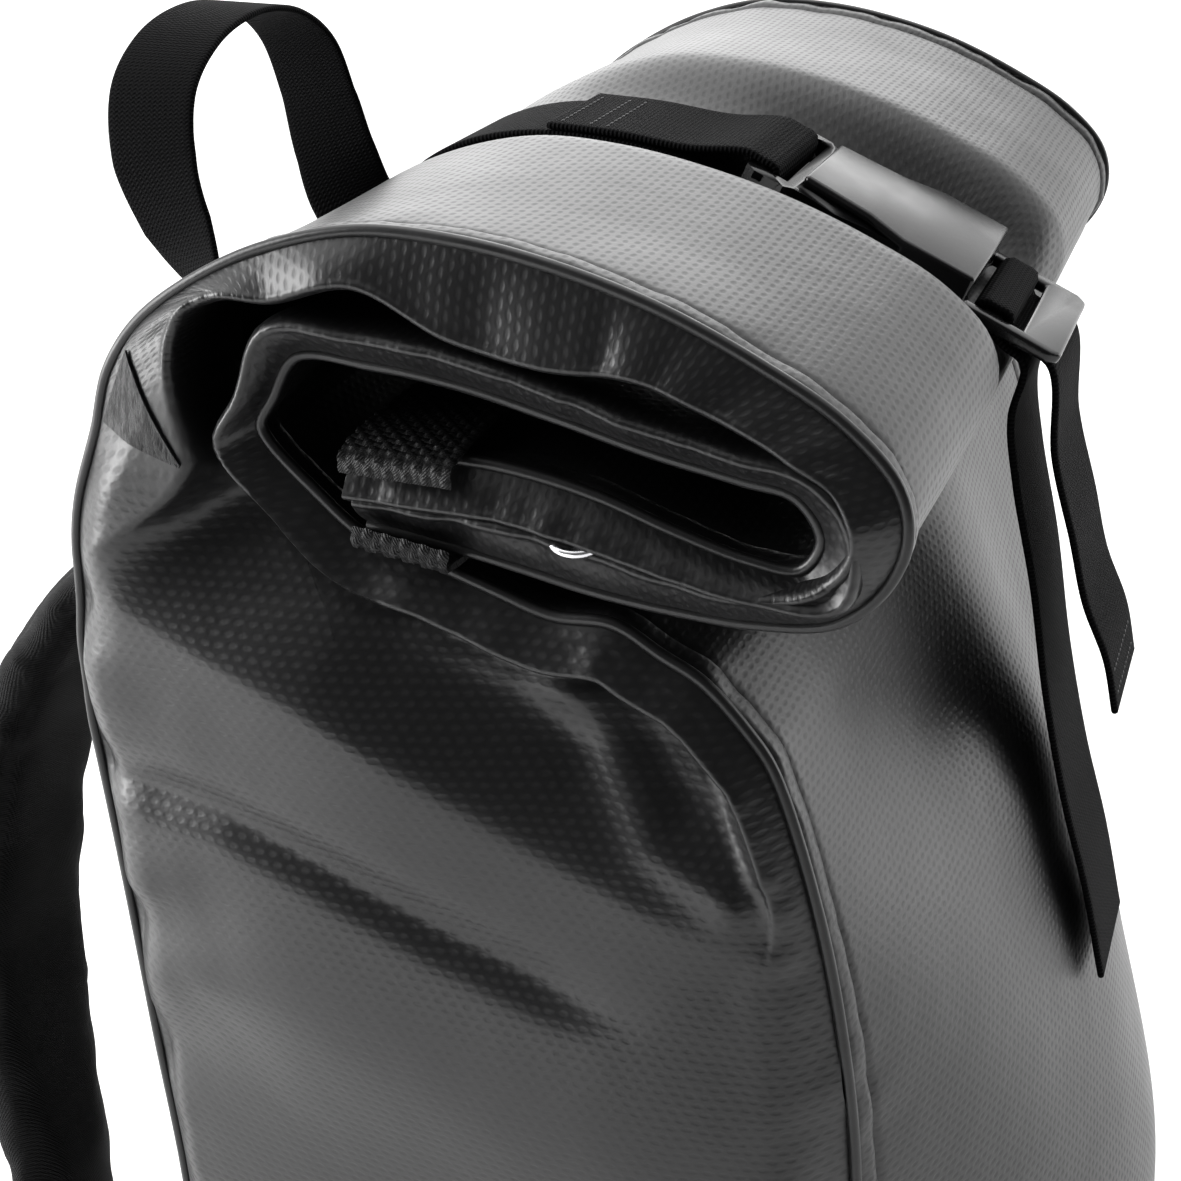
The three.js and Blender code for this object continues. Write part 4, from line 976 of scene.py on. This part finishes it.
sideCloths = {}
for word, hand in hands:
    obj = collectionLink(bpy.data.objects.new("side_cloth_" + word, sideMesh("side_cloth_" + word, hand)))
    thick = obj.modifiers.new("wall", "SOLIDIFY")
    thick.thickness = bag["cloth"] * mm
    thick.offset = 0
    thick.use_quality_normals = True
    applied(obj, 60)
    sideCloths[word] = finishPiece(obj, materials["tarpaulin"], (
        "side_panel_" + word, "gusset_fold_front_" + word, "gusset_fold_back_" + word))
print("side cloth and gussets made")

# piping in each seam, and the stitch line beside it on the front and back cloth
seamFinish = {"step": 1.5, "stitchFrom": 5.6, "stitchLift": 0.6, "proud": 0.6}


def seamPlaces(seam, index, hand, face):
    place = onSide(seam, index, 0.0) + outOf(seam, index, face) * seamFinish["proud"]
    return place + np.stack([hand * (seamWidthAt(index) + seamFinish["proud"]), 0 * index, 0 * index], -1)


seamLayers = (("front", frontSeam, 1, frontPlaces), ("back", backSeam, -1, backPlaces))
for word, hand in hands:
    for layer, seam, face, surface in seamLayers:
        index, _ = seam.even(0, seam.last, seamFinish["step"])
        places = seamPlaces(seam, index, hand, face)
        cordPiece(f"seam_cord_{layer}_{word}", places, bag["piping"], materials["piping"],
                  (f"piping_{layer}_{word}",))
        edge = surface if hand > 0 else surface[:, ::-1]
        outs = outwards(surface, face)
        outs = outs if hand > 0 else outs[:, ::-1]
        apart = np.abs(np.abs(edge[0, :, 0]) - (seamX - seamFinish["stitchFrom"]))
        farHalf = np.arange(edge.shape[1]) >= edge.shape[1] / 2
        column = int(np.argmin(np.where(farHalf, apart, np.inf)))
        line = edge[:, column] + outs[:, column] * seamFinish["stitchLift"]
        stitchPiece(f"seam_stitches_{layer}_{word}", [(line, outs[:, column])], materials["thread"])
print("seams made")


# the side release buckle's own frame: along runs to its male half, out stands off the roll
backRow = {
    "strapFrom": sideTop - 2,
    "strapTo": sideTop + 6,
    "buckleFrom": sideTop + 7,
    "buckleTo": sideTop + 11,
}
buckle = {
    "length": 88.0,
    "width": 48.0,
    "height": 12.0,
    "wall": 2.6,
    "fit": 0.4,
    "bar": 5.5,
    "slot": 5.0,
    "share": 0.6,
    "seat": 0.9,
}
webWall = 1.8
clothHalf = 0.8
gap = 0.3
strapLift = clothHalf + gap + webWall / 2
webLift = webWall / 2 + gap


def yz(point):
    return np.array([0.0, point[0], point[1]])


buckleFrom = yz(backMiddle.at(backRow["buckleFrom"]))
buckleTo = yz(backMiddle.at(backRow["buckleTo"]))
buckleAlong = (buckleFrom - buckleTo) / np.linalg.norm(buckleFrom - buckleTo)
buckleOut = np.array([0.0, -buckleAlong[2], buckleAlong[1]])
buckleSeat = clothHalf + gap + buckle["height"] / 2 + buckle["seat"]
buckleMiddle = mix(buckleFrom, buckleTo, buckle["share"]) + buckleOut * buckleSeat
halfLength = buckle["length"] / 2
halfWidth = buckle["width"] / 2
halfHeight = buckle["height"] / 2
maleStart = halfLength - buckle["slot"] - buckle["bar"] - buckle["wall"]
bodyEnd = -halfLength + 2 * buckle["slot"] + 3 * buckle["bar"]
ladderLow = -0.62 * halfHeight
ladderHigh = -0.1 * halfHeight
maleHalf = halfHeight - buckle["wall"] - buckle["fit"]


def inBuckle(along, out):
    return buckleMiddle + buckleAlong * along + buckleOut * out


# webbing half round a bar: from below it, through the slot on one side and over it
def roundBar(place, middle, towards, low, high, bar):
    edge = middle + towards * bar / 2
    near = edge + towards * webLift / 2
    far = edge + towards * 1.4 * webLift
    return [
        place(middle, low - webLift),
        place(near, low - webLift),
        place(far, low + webLift / 2),
        place(far, high - webLift / 2),
        place(near, high + webLift),
        place(middle, high + webLift),
    ]


def backStrapPlace(index, lift):
    return yz(backMiddle.at(float(index))) + outOf(backMiddle, float(index), -1) * lift


# a flat strap: even places along a smooth path, its width's direction at each, and soft woven edges
def strapPiece(name, path, width, material, replaced, across=None, step=1.6, columns=14, wall=webWall):
    line = SmoothLine(path)
    index, along = line.even(0, line.last, step)
    places = line.at(index)
    if across is None:
        direction = np.broadcast_to(np.array([1.0, 0, 0]), places.shape)
    else:
        direction = np.column_stack([np.interp(index, np.arange(len(path)), column) for column in across.T])
        tangent = line.tangent(index)
        direction = direction - tangent * np.sum(direction * tangent, -1, keepdims=True)
        direction = direction / np.linalg.norm(direction, axis=-1, keepdims=True)
    spread = np.linspace(-0.5, 0.5, columns + 1)
    grid = places[:, None, :] + direction[:, None, :] * (spread[None, :, None] * width)
    mesh = gridMesh(name, grid, spread[None, :] * width, along[:, None])
    obj = collectionLink(bpy.data.objects.new(name, mesh))
    thick = obj.modifiers.new("wall", "SOLIDIFY")
    thick.thickness = wall * mm
    thick.offset = 0
    edge = obj.modifiers.new("selvedge", "BEVEL")
    edge.width = 0.42 * wall * mm
    edge.segments = 2
    edge.limit_method = "ANGLE"
    edge.angle_limit = math.radians(60)
    applied(obj, 70)
    finishPiece(obj, material, replaced)
    return line, index, along, places, direction


# rows of stitches across a strap, at shares of its length
def strapStitches(name, made, shares, face):
    line, index, along, places, direction = made
    lines = []
    for share in shares:
        at = np.interp(share * along[-1], along, index)
        middle = line.at(np.array([at]))[0]
        across = direction[int(np.argmin(np.abs(index - at)))]
        out = np.cross(across, line.tangent(np.array([at]))[0]) * face
        reach = across * bag["strapWidth"] * 0.44
        lines.append((np.array([middle - reach, middle + reach]) + out * webWall / 2, np.array([out, out])))
    return stitchPiece(name, lines, materials["paleThread"], 2.8, (2.2, 0.8, 0.5))


strapBack = [backStrapPlace(i, strapLift) for i in range(backRow["strapFrom"], backRow["strapTo"] + 1)]
returned = strapLift + webWall + gap
strapBack += [inBuckle(halfLength + 3, -maleHalf - 1.4 * webLift)]
strapBack += roundBar(inBuckle, halfLength - buckle["bar"] / 2, -1, -maleHalf, maleHalf, buckle["bar"])
strapBack += [inBuckle(halfLength + webWall, maleHalf + webLift)]
strapBack += [backStrapPlace(sideTop + at, returned + extra) for at, extra in ((6, 1.4), (5.2, 0), (4.4, 0))]
backStrap = strapPiece("roll_strap", strapBack, bag["strapWidth"], materials["webbing"],
                       ("closure_strap_back",))

# the front strap's foot and free tail: y and h as shares of the depth and of the body's height
frontStrapFoot = [(-0.724, 0.62), (-0.683, 0.685), (-0.636, 0.747), (-0.592, 0.818), (-0.556, 0.891),
                  (-0.517, 0.955), (-0.501, 0.995)]
frontStrapTail = [(-0.565, 0.975), (-0.602, 0.925), (-0.63, 0.885), (-0.668, 0.85), (-0.69, 0.815)]
ladderBar = bodyEnd - buckle["slot"] - buckle["bar"] / 2


def frontStrapRow(row):
    return yz((row[0] * bag["depth"], row[1] * bag["bodyHeight"]))


strapFront = [frontStrapRow(row) for row in frontStrapFoot]
strapFront += [inBuckle(ladderBar - 2 * buckle["bar"] - webLift, ladderLow - 4 * webLift)]
strapFront += [inBuckle(ladderBar - buckle["bar"], ladderLow - 2.7 * webLift)]
strapFront += roundBar(inBuckle, ladderBar, 1, ladderLow, ladderHigh, buckle["bar"])
strapFront += roundBar(inBuckle, ladderBar, -1, ladderLow, ladderHigh, buckle["bar"])[2:5][::-1]
strapFront += [inBuckle(ladderBar - buckle["bar"] - webLift / 2, ladderLow - webLift)]
strapFront += [inBuckle(-halfLength + webLift, ladderLow - 1.4 * webLift)]
strapFront += [frontStrapRow(row) for row in frontStrapTail]
frontStrap = strapPiece("front_strap", strapFront, bag["strapWidth"], materials["webbing"],
                        ("closure_strap_front",))
strapStitches("roll_strap_stitches", backStrap, (0.93, 0.95, 0.985), 1)
strapStitches("front_strap_stitches", frontStrap, (0.03, 0.05, 0.965, 0.985), -1)
print("closure straps made")

# the haul handle: lean, rise and span as shares, turn in quarter turns
haul = {"width": 25.0, "span": 84.0, "rise": 82.0, "lean": 38.0, "foot": 15.4}
haulRows = [
    (0.0, 0.0, 1.0, 0.0),
    (0.01, 0.04, 1.0, 0.05),
    (0.25, 0.13, 1.0, 0.3),
    (0.6, 0.23, 1.01, 0.65),
    (0.8, 0.42, 1.05, 0.9),
    (0.92, 0.62, 1.06, 1.0),
    (0.98, 0.82, 0.92, 1.0),
    (1.0, 0.95, 0.55, 1.0),
    (1.0, 1.0, 0.0, 1.0),
]


def haulFootPlace(index):
    return onSide(backSeam, index, -haul["span"] / 2) + outOf(backSeam, index, -1) * strapLift


def makeHandle():
    start = haulFootPlace(haul["foot"])
    near = [(haulFootPlace(haul["foot"] - 2), 0.0), (haulFootPlace(haul["foot"] - 1), 0.0)]
    for lean, rise, span, turn in haulRows:
        y, z = start[1] + lean * haul["lean"], start[2] + rise * haul["rise"]
        near.append((np.array([-span * haul["span"] / 2, y, z]), turn))
    far = [(place * np.array([-1, 1, 1]), 2 - turn) for place, turn in near[-2::-1]]
    path = [place for place, _ in near + far]
    turns = np.array([turn for _, turn in near + far]) * math.pi / 2
    across = np.column_stack([np.cos(turns), np.sin(turns), 0 * turns])
    strapPiece("carry_handle", path, haul["width"], materials["webbing"], ("haul_handle",),
               across, columns=10)


makeHandle()

# webbing round the hem of the mouth: out from each layer and round its gusset fold at both ends
hem = {"width": 21.0, "step": 0.7, "inset": 0.04, "bead": 2.1, "frontFold": 0.11, "backFold": 0.14}


def makeCoarseWebbing():
    nodes = Nodes("coarse_webbing", 0.5, (0.007, 0.007, 0.0075))
    u, v, _ = nodes.split(nodes.coordinates.outputs["UV"])
    grain = nodes.noise(nodes.coordinates.outputs["Object"], 2200, 2)
    strand = nodes.math("SINE", nodes.math("MULTIPLY", nodes.math("ADD", u, v), math.tau / 0.0006))
    height = nodes.math("ADD", nodes.math("MULTIPLY", strand, 0.4), grain)
    return nodes.finish(None, None, nodes.bump(height, 0.00012), Specular_IOR_Level=0.4)


materials["coarseWebbing"] = makeCoarseWebbing()


def hemPiece(name, seam, face, fold, replaced):
    last = seam.last - hem["inset"]
    step = float(np.linalg.norm(seam.at(float(seam.last)) - seam.at(float(seam.last - 1))))
    first = last - hem["width"] / step
    depth = bag["gussetReach"] * fold
    off = 1.5 + gap + webWall / 2
    around = clothHalf + gap + webWall / 2
    half = bag["width"] / 2
    end = [
        (half + around, -depth / 2),
        (half + around, off / 3),
        (half - bag["seamInset"] / 2, off),
        (half / 3, off),
    ]
    section = SmoothLine([(-x, n) for x, n in end] + end[::-1])
    place, across = section.even(0, section.last, hem["step"])
    place = section.at(place)
    index, along = seam.even(first, last, hem["step"])
    out = outOf(seam, index, face)[:, None, :]
    base = onSide(seam, index, 0.0)[:, None, :] + out * place[None, :, 1, None]
    base[..., 0] = place[None, :, 0]
    normal = outwards(base, face)
    sideways = np.sin(math.pi * across[None, :] / hem["bead"])
    lengthways = np.sin(math.pi * along[:, None] / hem["bead"])
    checker = sideways * lengthways
    beads = np.abs(sideways) * np.abs(lengthways) * 0.75 * (1 + 0.4 * np.sign(checker))
    base = base + normal * beads[..., None]
    sheetPiece(name, base, across[None, :], along[:, None], webWall * 0.7, materials["coarseWebbing"],
               replaced)


hemPiece("hem_webbing_front", frontSeam, 1, hem["frontFold"], ("mouth_webbing_front",))
hemPiece("hem_webbing_back", backSeam, -1, hem["backFold"], ("mouth_webbing_back",))
print("hem webbing made")


# moulded pieces start from a merged copy of the frame's own solid, then get rounded edges
def mouldedPiece(name, node, radius, material, segments=3, flatAngle=2.0):
    mesh = frame["nodes"][node].data.copy()
    mesh.name = name
    bm = bmesh.new()
    bm.from_mesh(mesh)
    bmesh.ops.remove_doubles(bm, verts=bm.verts, dist=0.00002)
    bmesh.ops.dissolve_limit(bm, angle_limit=math.radians(flatAngle), verts=bm.verts, edges=bm.edges)
    sharp = [e for e in bm.edges if e.is_manifold and e.calc_face_angle(0) > math.radians(25)]
    bmesh.ops.bevel(bm, geom=sharp, offset=radius * mm, offset_type="OFFSET", segments=segments, profile=0.5,
                    affect="EDGES", clamp_overlap=True, material=-1)
    bmesh.ops.triangulate(bm, faces=bm.faces)
    bm.to_mesh(mesh)
    bm.free()
    mesh.shade_smooth()
    mesh.set_sharp_from_angle(angle=math.radians(35))
    obj = collectionLink(bpy.data.objects.new(name, mesh))
    return finishPiece(obj, material, (node,))


mouldedPiece("release_half", "buckle_female", 1.3, materials["plastic"])
mouldedPiece("pronged_half", "buckle_male", 1.1, materials["plastic"])
for word, hand in hands:
    mouldedPiece("ladder_lock_" + word, "strap_adjuster_" + word, 0.5, materials["plastic"])
print("buckle made")


# a merged copy of one of the frame's own solids
def mergedCopy(name, node):
    mesh = bpy.data.meshes.new(name)
    bm = bmesh.new()
    bm.from_mesh(frame["nodes"][node].data)
    bmesh.ops.remove_doubles(bm, verts=bm.verts, dist=0.00002)
    bm.to_mesh(mesh)
    bm.free()
    return mesh


# a UV map in metres, laid on from the side that each face looks to
def laidOn(mesh):
    layer = mesh.uv_layers.get("UVMap") or mesh.uv_layers.new(name="UVMap")
    co = np.zeros(len(mesh.vertices) * 3)
    mesh.vertices.foreach_get("co", co)
    co = co.reshape(-1, 3)
    loops = np.zeros(len(mesh.loops), int)
    mesh.loops.foreach_get("vertex_index", loops)
    normals = np.zeros(len(mesh.polygons) * 3)
    mesh.polygons.foreach_get("normal", normals)
    totals = np.zeros(len(mesh.polygons), int)
    mesh.polygons.foreach_get("loop_total", totals)
    facing = np.repeat(np.argmax(np.abs(normals.reshape(-1, 3)), 1), totals)
    u = np.where(facing == 0, co[loops, 1], co[loops, 0])
    v = np.where(facing == 2, co[loops, 1], co[loops, 2])
    layer.data.foreach_set("uv", np.column_stack([u, v]).ravel())


padFinish = {"voxel": 0.004, "pressure": 4.0, "frames": 20, "start": 0.0006}


# a padded piece: the frame's solid, a little smaller, blown up by cloth simulation and then smoothed
def padPiece(name, node, cap, quilting=None):
    obj = collectionLink(bpy.data.objects.new(name, mergedCopy(name, node)))
    fine = obj.modifiers.new("even", "REMESH")
    fine.mode = "VOXEL"
    fine.voxel_size = padFinish["voxel"]
    applied(obj)
    mesh = obj.data
    count = len(mesh.vertices)
    normals = np.zeros(count * 3)
    mesh.vertices.foreach_get("normal", normals)
    rest = np.zeros(count * 3)
    mesh.vertices.foreach_get("co", rest)
    rest = rest.reshape(-1, 3) - normals.reshape(-1, 3) * padFinish["start"]
    mesh.vertices.foreach_set("co", rest.ravel())
    mesh.update()
    blown = obj.modifiers.new("cloth", "CLOTH")
    blown.settings.use_pressure = True
    blown.settings.uniform_pressure_force = padFinish["pressure"]
    blown.settings.effector_weights.gravity = 0
    blown.settings.quality = 4
    blown.collision_settings.use_collision = False
    for number in range(1, padFinish["frames"] + 1):
        bpy.context.scene.frame_set(number)
    evaluated = obj.evaluated_get(bpy.context.evaluated_depsgraph_get())
    moved = np.zeros(count * 3)
    evaluated.data.vertices.foreach_get("co", moved)
    shift = moved.reshape(-1, 3) - rest
    shift -= shift.mean(0)
    length = np.linalg.norm(shift, axis=1, keepdims=True)
    shift *= np.minimum(1, cap * mm / np.maximum(length, 1e-9))
    obj.modifiers.clear()
    mesh.vertices.foreach_set("co", (rest + shift).ravel())
    mesh.update()
    bpy.context.scene.frame_set(1)
    bm = bmesh.new()
    bm.from_mesh(mesh)
    for _ in range(3):
        bmesh.ops.smooth_vert(bm, verts=bm.verts, factor=0.5, use_axis_x=True, use_axis_y=True,
                              use_axis_z=True)
    bm.to_mesh(mesh)
    bm.free()
    smooth = obj.modifiers.new("smooth", "SUBSURF")
    smooth.levels = smooth.render_levels = 1
    applied(obj)
    if quilting is not None:
        co = np.zeros(len(obj.data.vertices) * 3)
        obj.data.vertices.foreach_get("co", co)
        co = co.reshape(-1, 3)
        normals = np.zeros(len(co) * 3)
        obj.data.vertices.foreach_get("normal", normals)
        co = co - normals.reshape(-1, 3) * (quilting(co / mm) * mm)[:, None]
        obj.data.vertices.foreach_set("co", co.ravel())
        obj.data.update()
    laidOn(obj.data)
    finishPiece(obj, materials["padCloth"], (node,))
    return obj


# sewn channels across the back pad, and one along each shoulder strap
def padChannels(co):
    near = np.abs((co[:, 2] - 60) % 74 - 37)
    return 1.6 * np.exp(-((near / 3.0) ** 2))


def strapChannels(middle):
    def channels(co):
        line = np.interp(co[:, 2], middle[:, 2], middle[:, 0])
        near = np.abs(np.abs(co[:, 0] - line) - 23)
        wave = 0.25 * np.sin(co[:, 2] / 9.0) + 0.2 * np.sin(co[:, 2] / 4.3 + co[:, 0] / 8)
        return 1.1 * np.exp(-((near / 1.8) ** 2)) + wave
    return channels


def nodeCorners(node):
    return np.array([v.co for v in frame["nodes"][node].data.vertices]) / mm


def strapMiddle(node):
    co = nodeCorners(node)
    heights = np.linspace(co[:, 2].min() + 8, co[:, 2].max() - 8, 14)
    rows = []
    for z in heights:
        near = co[np.abs(co[:, 2] - z) < 16]
        rows.append(((near[:, 0].min() + near[:, 0].max()) / 2 if len(near) else 0.0, 0.0, z))
    return np.array(rows)


padPiece("back_cushion", "back_pad", 3.0, padChannels)
for word, hand in hands:
    node = "shoulder_strap_" + word
    padPiece("shoulder_pad_" + word, node, 3.0, strapChannels(strapMiddle(node)))
    # the strap's thin lower tongue, down to the bar of its ladder
    co = nodeCorners(node)
    low = co[:, 2].min()
    inPad, end = (co[(co[:, 2] >= low + a) & (co[:, 2] <= low + b)].mean(0) for a, b in ((24, 50), (0, 8)))
    bar = nodeCorners("strap_adjuster_" + word)
    bar = bar[bar[:, 2] > bar[:, 2].max() - 7].mean(0)
    tongue = [inPad, mix(inPad, end, 0.7), end, bar]
    strapPiece("strap_tongue_" + word, tongue, 24.0, materials["webbing"], ())
print("pads made")


# thin sheets and webbing that lie on the frame's own solids, with soft edges
def softenedPiece(name, node, radius, material):
    obj = collectionLink(bpy.data.objects.new(name, mergedCopy(name, node)))
    mesh = obj.data
    bm = bmesh.new()
    bm.from_mesh(mesh)
    bmesh.ops.dissolve_limit(bm, angle_limit=math.radians(0.5), verts=bm.verts, edges=bm.edges)
    sharp = [e for e in bm.edges if e.is_manifold and e.calc_face_angle(0) > math.radians(35)]
    bmesh.ops.bevel(bm, geom=sharp, offset=radius * mm, offset_type="OFFSET", segments=2, profile=0.5,
                    affect="EDGES", clamp_overlap=True, material=-1)
    bmesh.ops.triangulate(bm, faces=bm.faces)
    bm.to_mesh(mesh)
    bm.free()
    mesh.shade_smooth()
    mesh.set_sharp_from_angle(angle=math.radians(50))
    laidOn(mesh)
    return finishPiece(obj, material, (node,))


softenedPiece("base_sheet", "base_panel", 0.4, materials["tarpaulin"])
for word, hand in hands:
    softenedPiece("strap_webbing_" + word, "lower_webbing_" + word, 0.4, materials["webbing"])


# a place on the side cloth, found by a line across the bag at y and z
def onSideCloth(word, hand, y, z):
    origin = Vector((hand * 0.3, y * mm, z * mm))
    found, place, normal, _ = sideCloths[word].ray_cast(origin, Vector((-hand, 0, 0)))
    if not found:
        place, normal = Vector((hand * bag["width"] / 2 * mm, y * mm, z * mm)), Vector((hand, 0, 0))
    return np.array(place) / mm, np.array(normal)


patch = {
    "foot": ((75.0, 458.0), (83.0, 441.0)),
    "tip": (61.0, 435.5),
    "lift": 0.5,
    "wall": 0.5,
    "width": 22,
    "height": 24,
    "rows": 26,
    "columns": 20,
}


def makeWelded():
    nodes = Nodes("welded_patch", 0.5, (0.008, 0.008, 0.0085))
    place = nodes.coordinates.outputs["Object"]
    ragged = nodes.noise(nodes.vector("MULTIPLY", place, (260, 700, 260)), 1.0, 5, 0.7)
    blots = nodes.ramp(ragged, 0.42, 0.6)
    rough = nodes.ramp(ragged, 0.35, 0.65, 0.36, 0.7)
    return nodes.finish(nodes.mixColour(blots, (0.003, 0.003, 0.0035), (0.009, 0.009, 0.0095)), rough,
                        nodes.bump(ragged, 0.0006))


materials["welded"] = makeWelded()
for word, hand in hands:
    start, end = np.array(patch["foot"])
    tip = np.array(patch["tip"])
    places = np.zeros((patch["rows"] + 1, patch["columns"] + 1, 3))
    for i, t in enumerate(np.linspace(0, 0.97, patch["rows"] + 1)):
        for j, s in enumerate(np.linspace(0, 1, patch["columns"] + 1)):
            y, z = mix(mix(start, end, s), tip, t)
            place, normal = onSideCloth(word, hand, y, z)
            places[i, j] = place + normal * (patch["lift"] + 0.12 * math.sin(9 * s) * math.sin(7 * t))
    if hand < 0:
        places = places[:, ::-1]
    across = np.linspace(0, patch["width"], patch["columns"] + 1)[None, :]
    up = np.linspace(0, patch["height"], patch["rows"] + 1)[:, None]
    sheetPiece("welded_corner_" + word, places, across, up, patch["wall"], materials["welded"],
               ("corner_patch_" + word,))

# the mouth's snaps: a domed nickel ring round a small socket, turned about the cloth's own normal
snap = {
    "place": (144.0, -25.5, 431.8),
    "lean": 0.3,
    "steps": 40,
    "profile": (
        (0.0, 0.5), (1.6, 0.6), (2.1, 1.5), (2.9, 1.7), (3.4, 1.0), (4.6, 0.8),
        (5.6, 1.3), (6.3, 1.0), (6.5, 0.3), (6.2, -0.5), (0.0, -0.6),
    ),
}
for word, hand in hands:
    place = np.array(snap["place"]) * np.array([hand, 1, 1])
    turned = Matrix.Rotation(hand * snap["lean"], 3, "Y")
    rings = []
    for radius, height in snap["profile"]:
        angles = np.linspace(0, math.tau, snap["steps"] + 1)
        ring = [Vector((radius * math.cos(a), radius * math.sin(a), height)) for a in angles]
        rings.append([np.array(turned @ point) + place for point in ring])
    mesh = gridMesh("nickel_snap_" + word, np.array(rings), np.zeros((1, 1)), np.zeros((1, 1)))
    bm = bmesh.new()
    bm.from_mesh(mesh)
    bmesh.ops.remove_doubles(bm, verts=bm.verts, dist=0.00001)
    bmesh.ops.recalc_face_normals(bm, faces=bm.faces)
    bm.to_mesh(mesh)
    bm.free()
    obj = collectionLink(bpy.data.objects.new("nickel_snap_" + word, mesh))
    bevel = obj.modifiers.new("round", "BEVEL")
    bevel.width = 0.2 * mm
    bevel.segments = 2
    bevel.limit_method = "ANGLE"
    applied(obj)
    finishPiece(obj, materials["nickel"], ("mouth_snap_" + word,))
print("patches and snaps made")
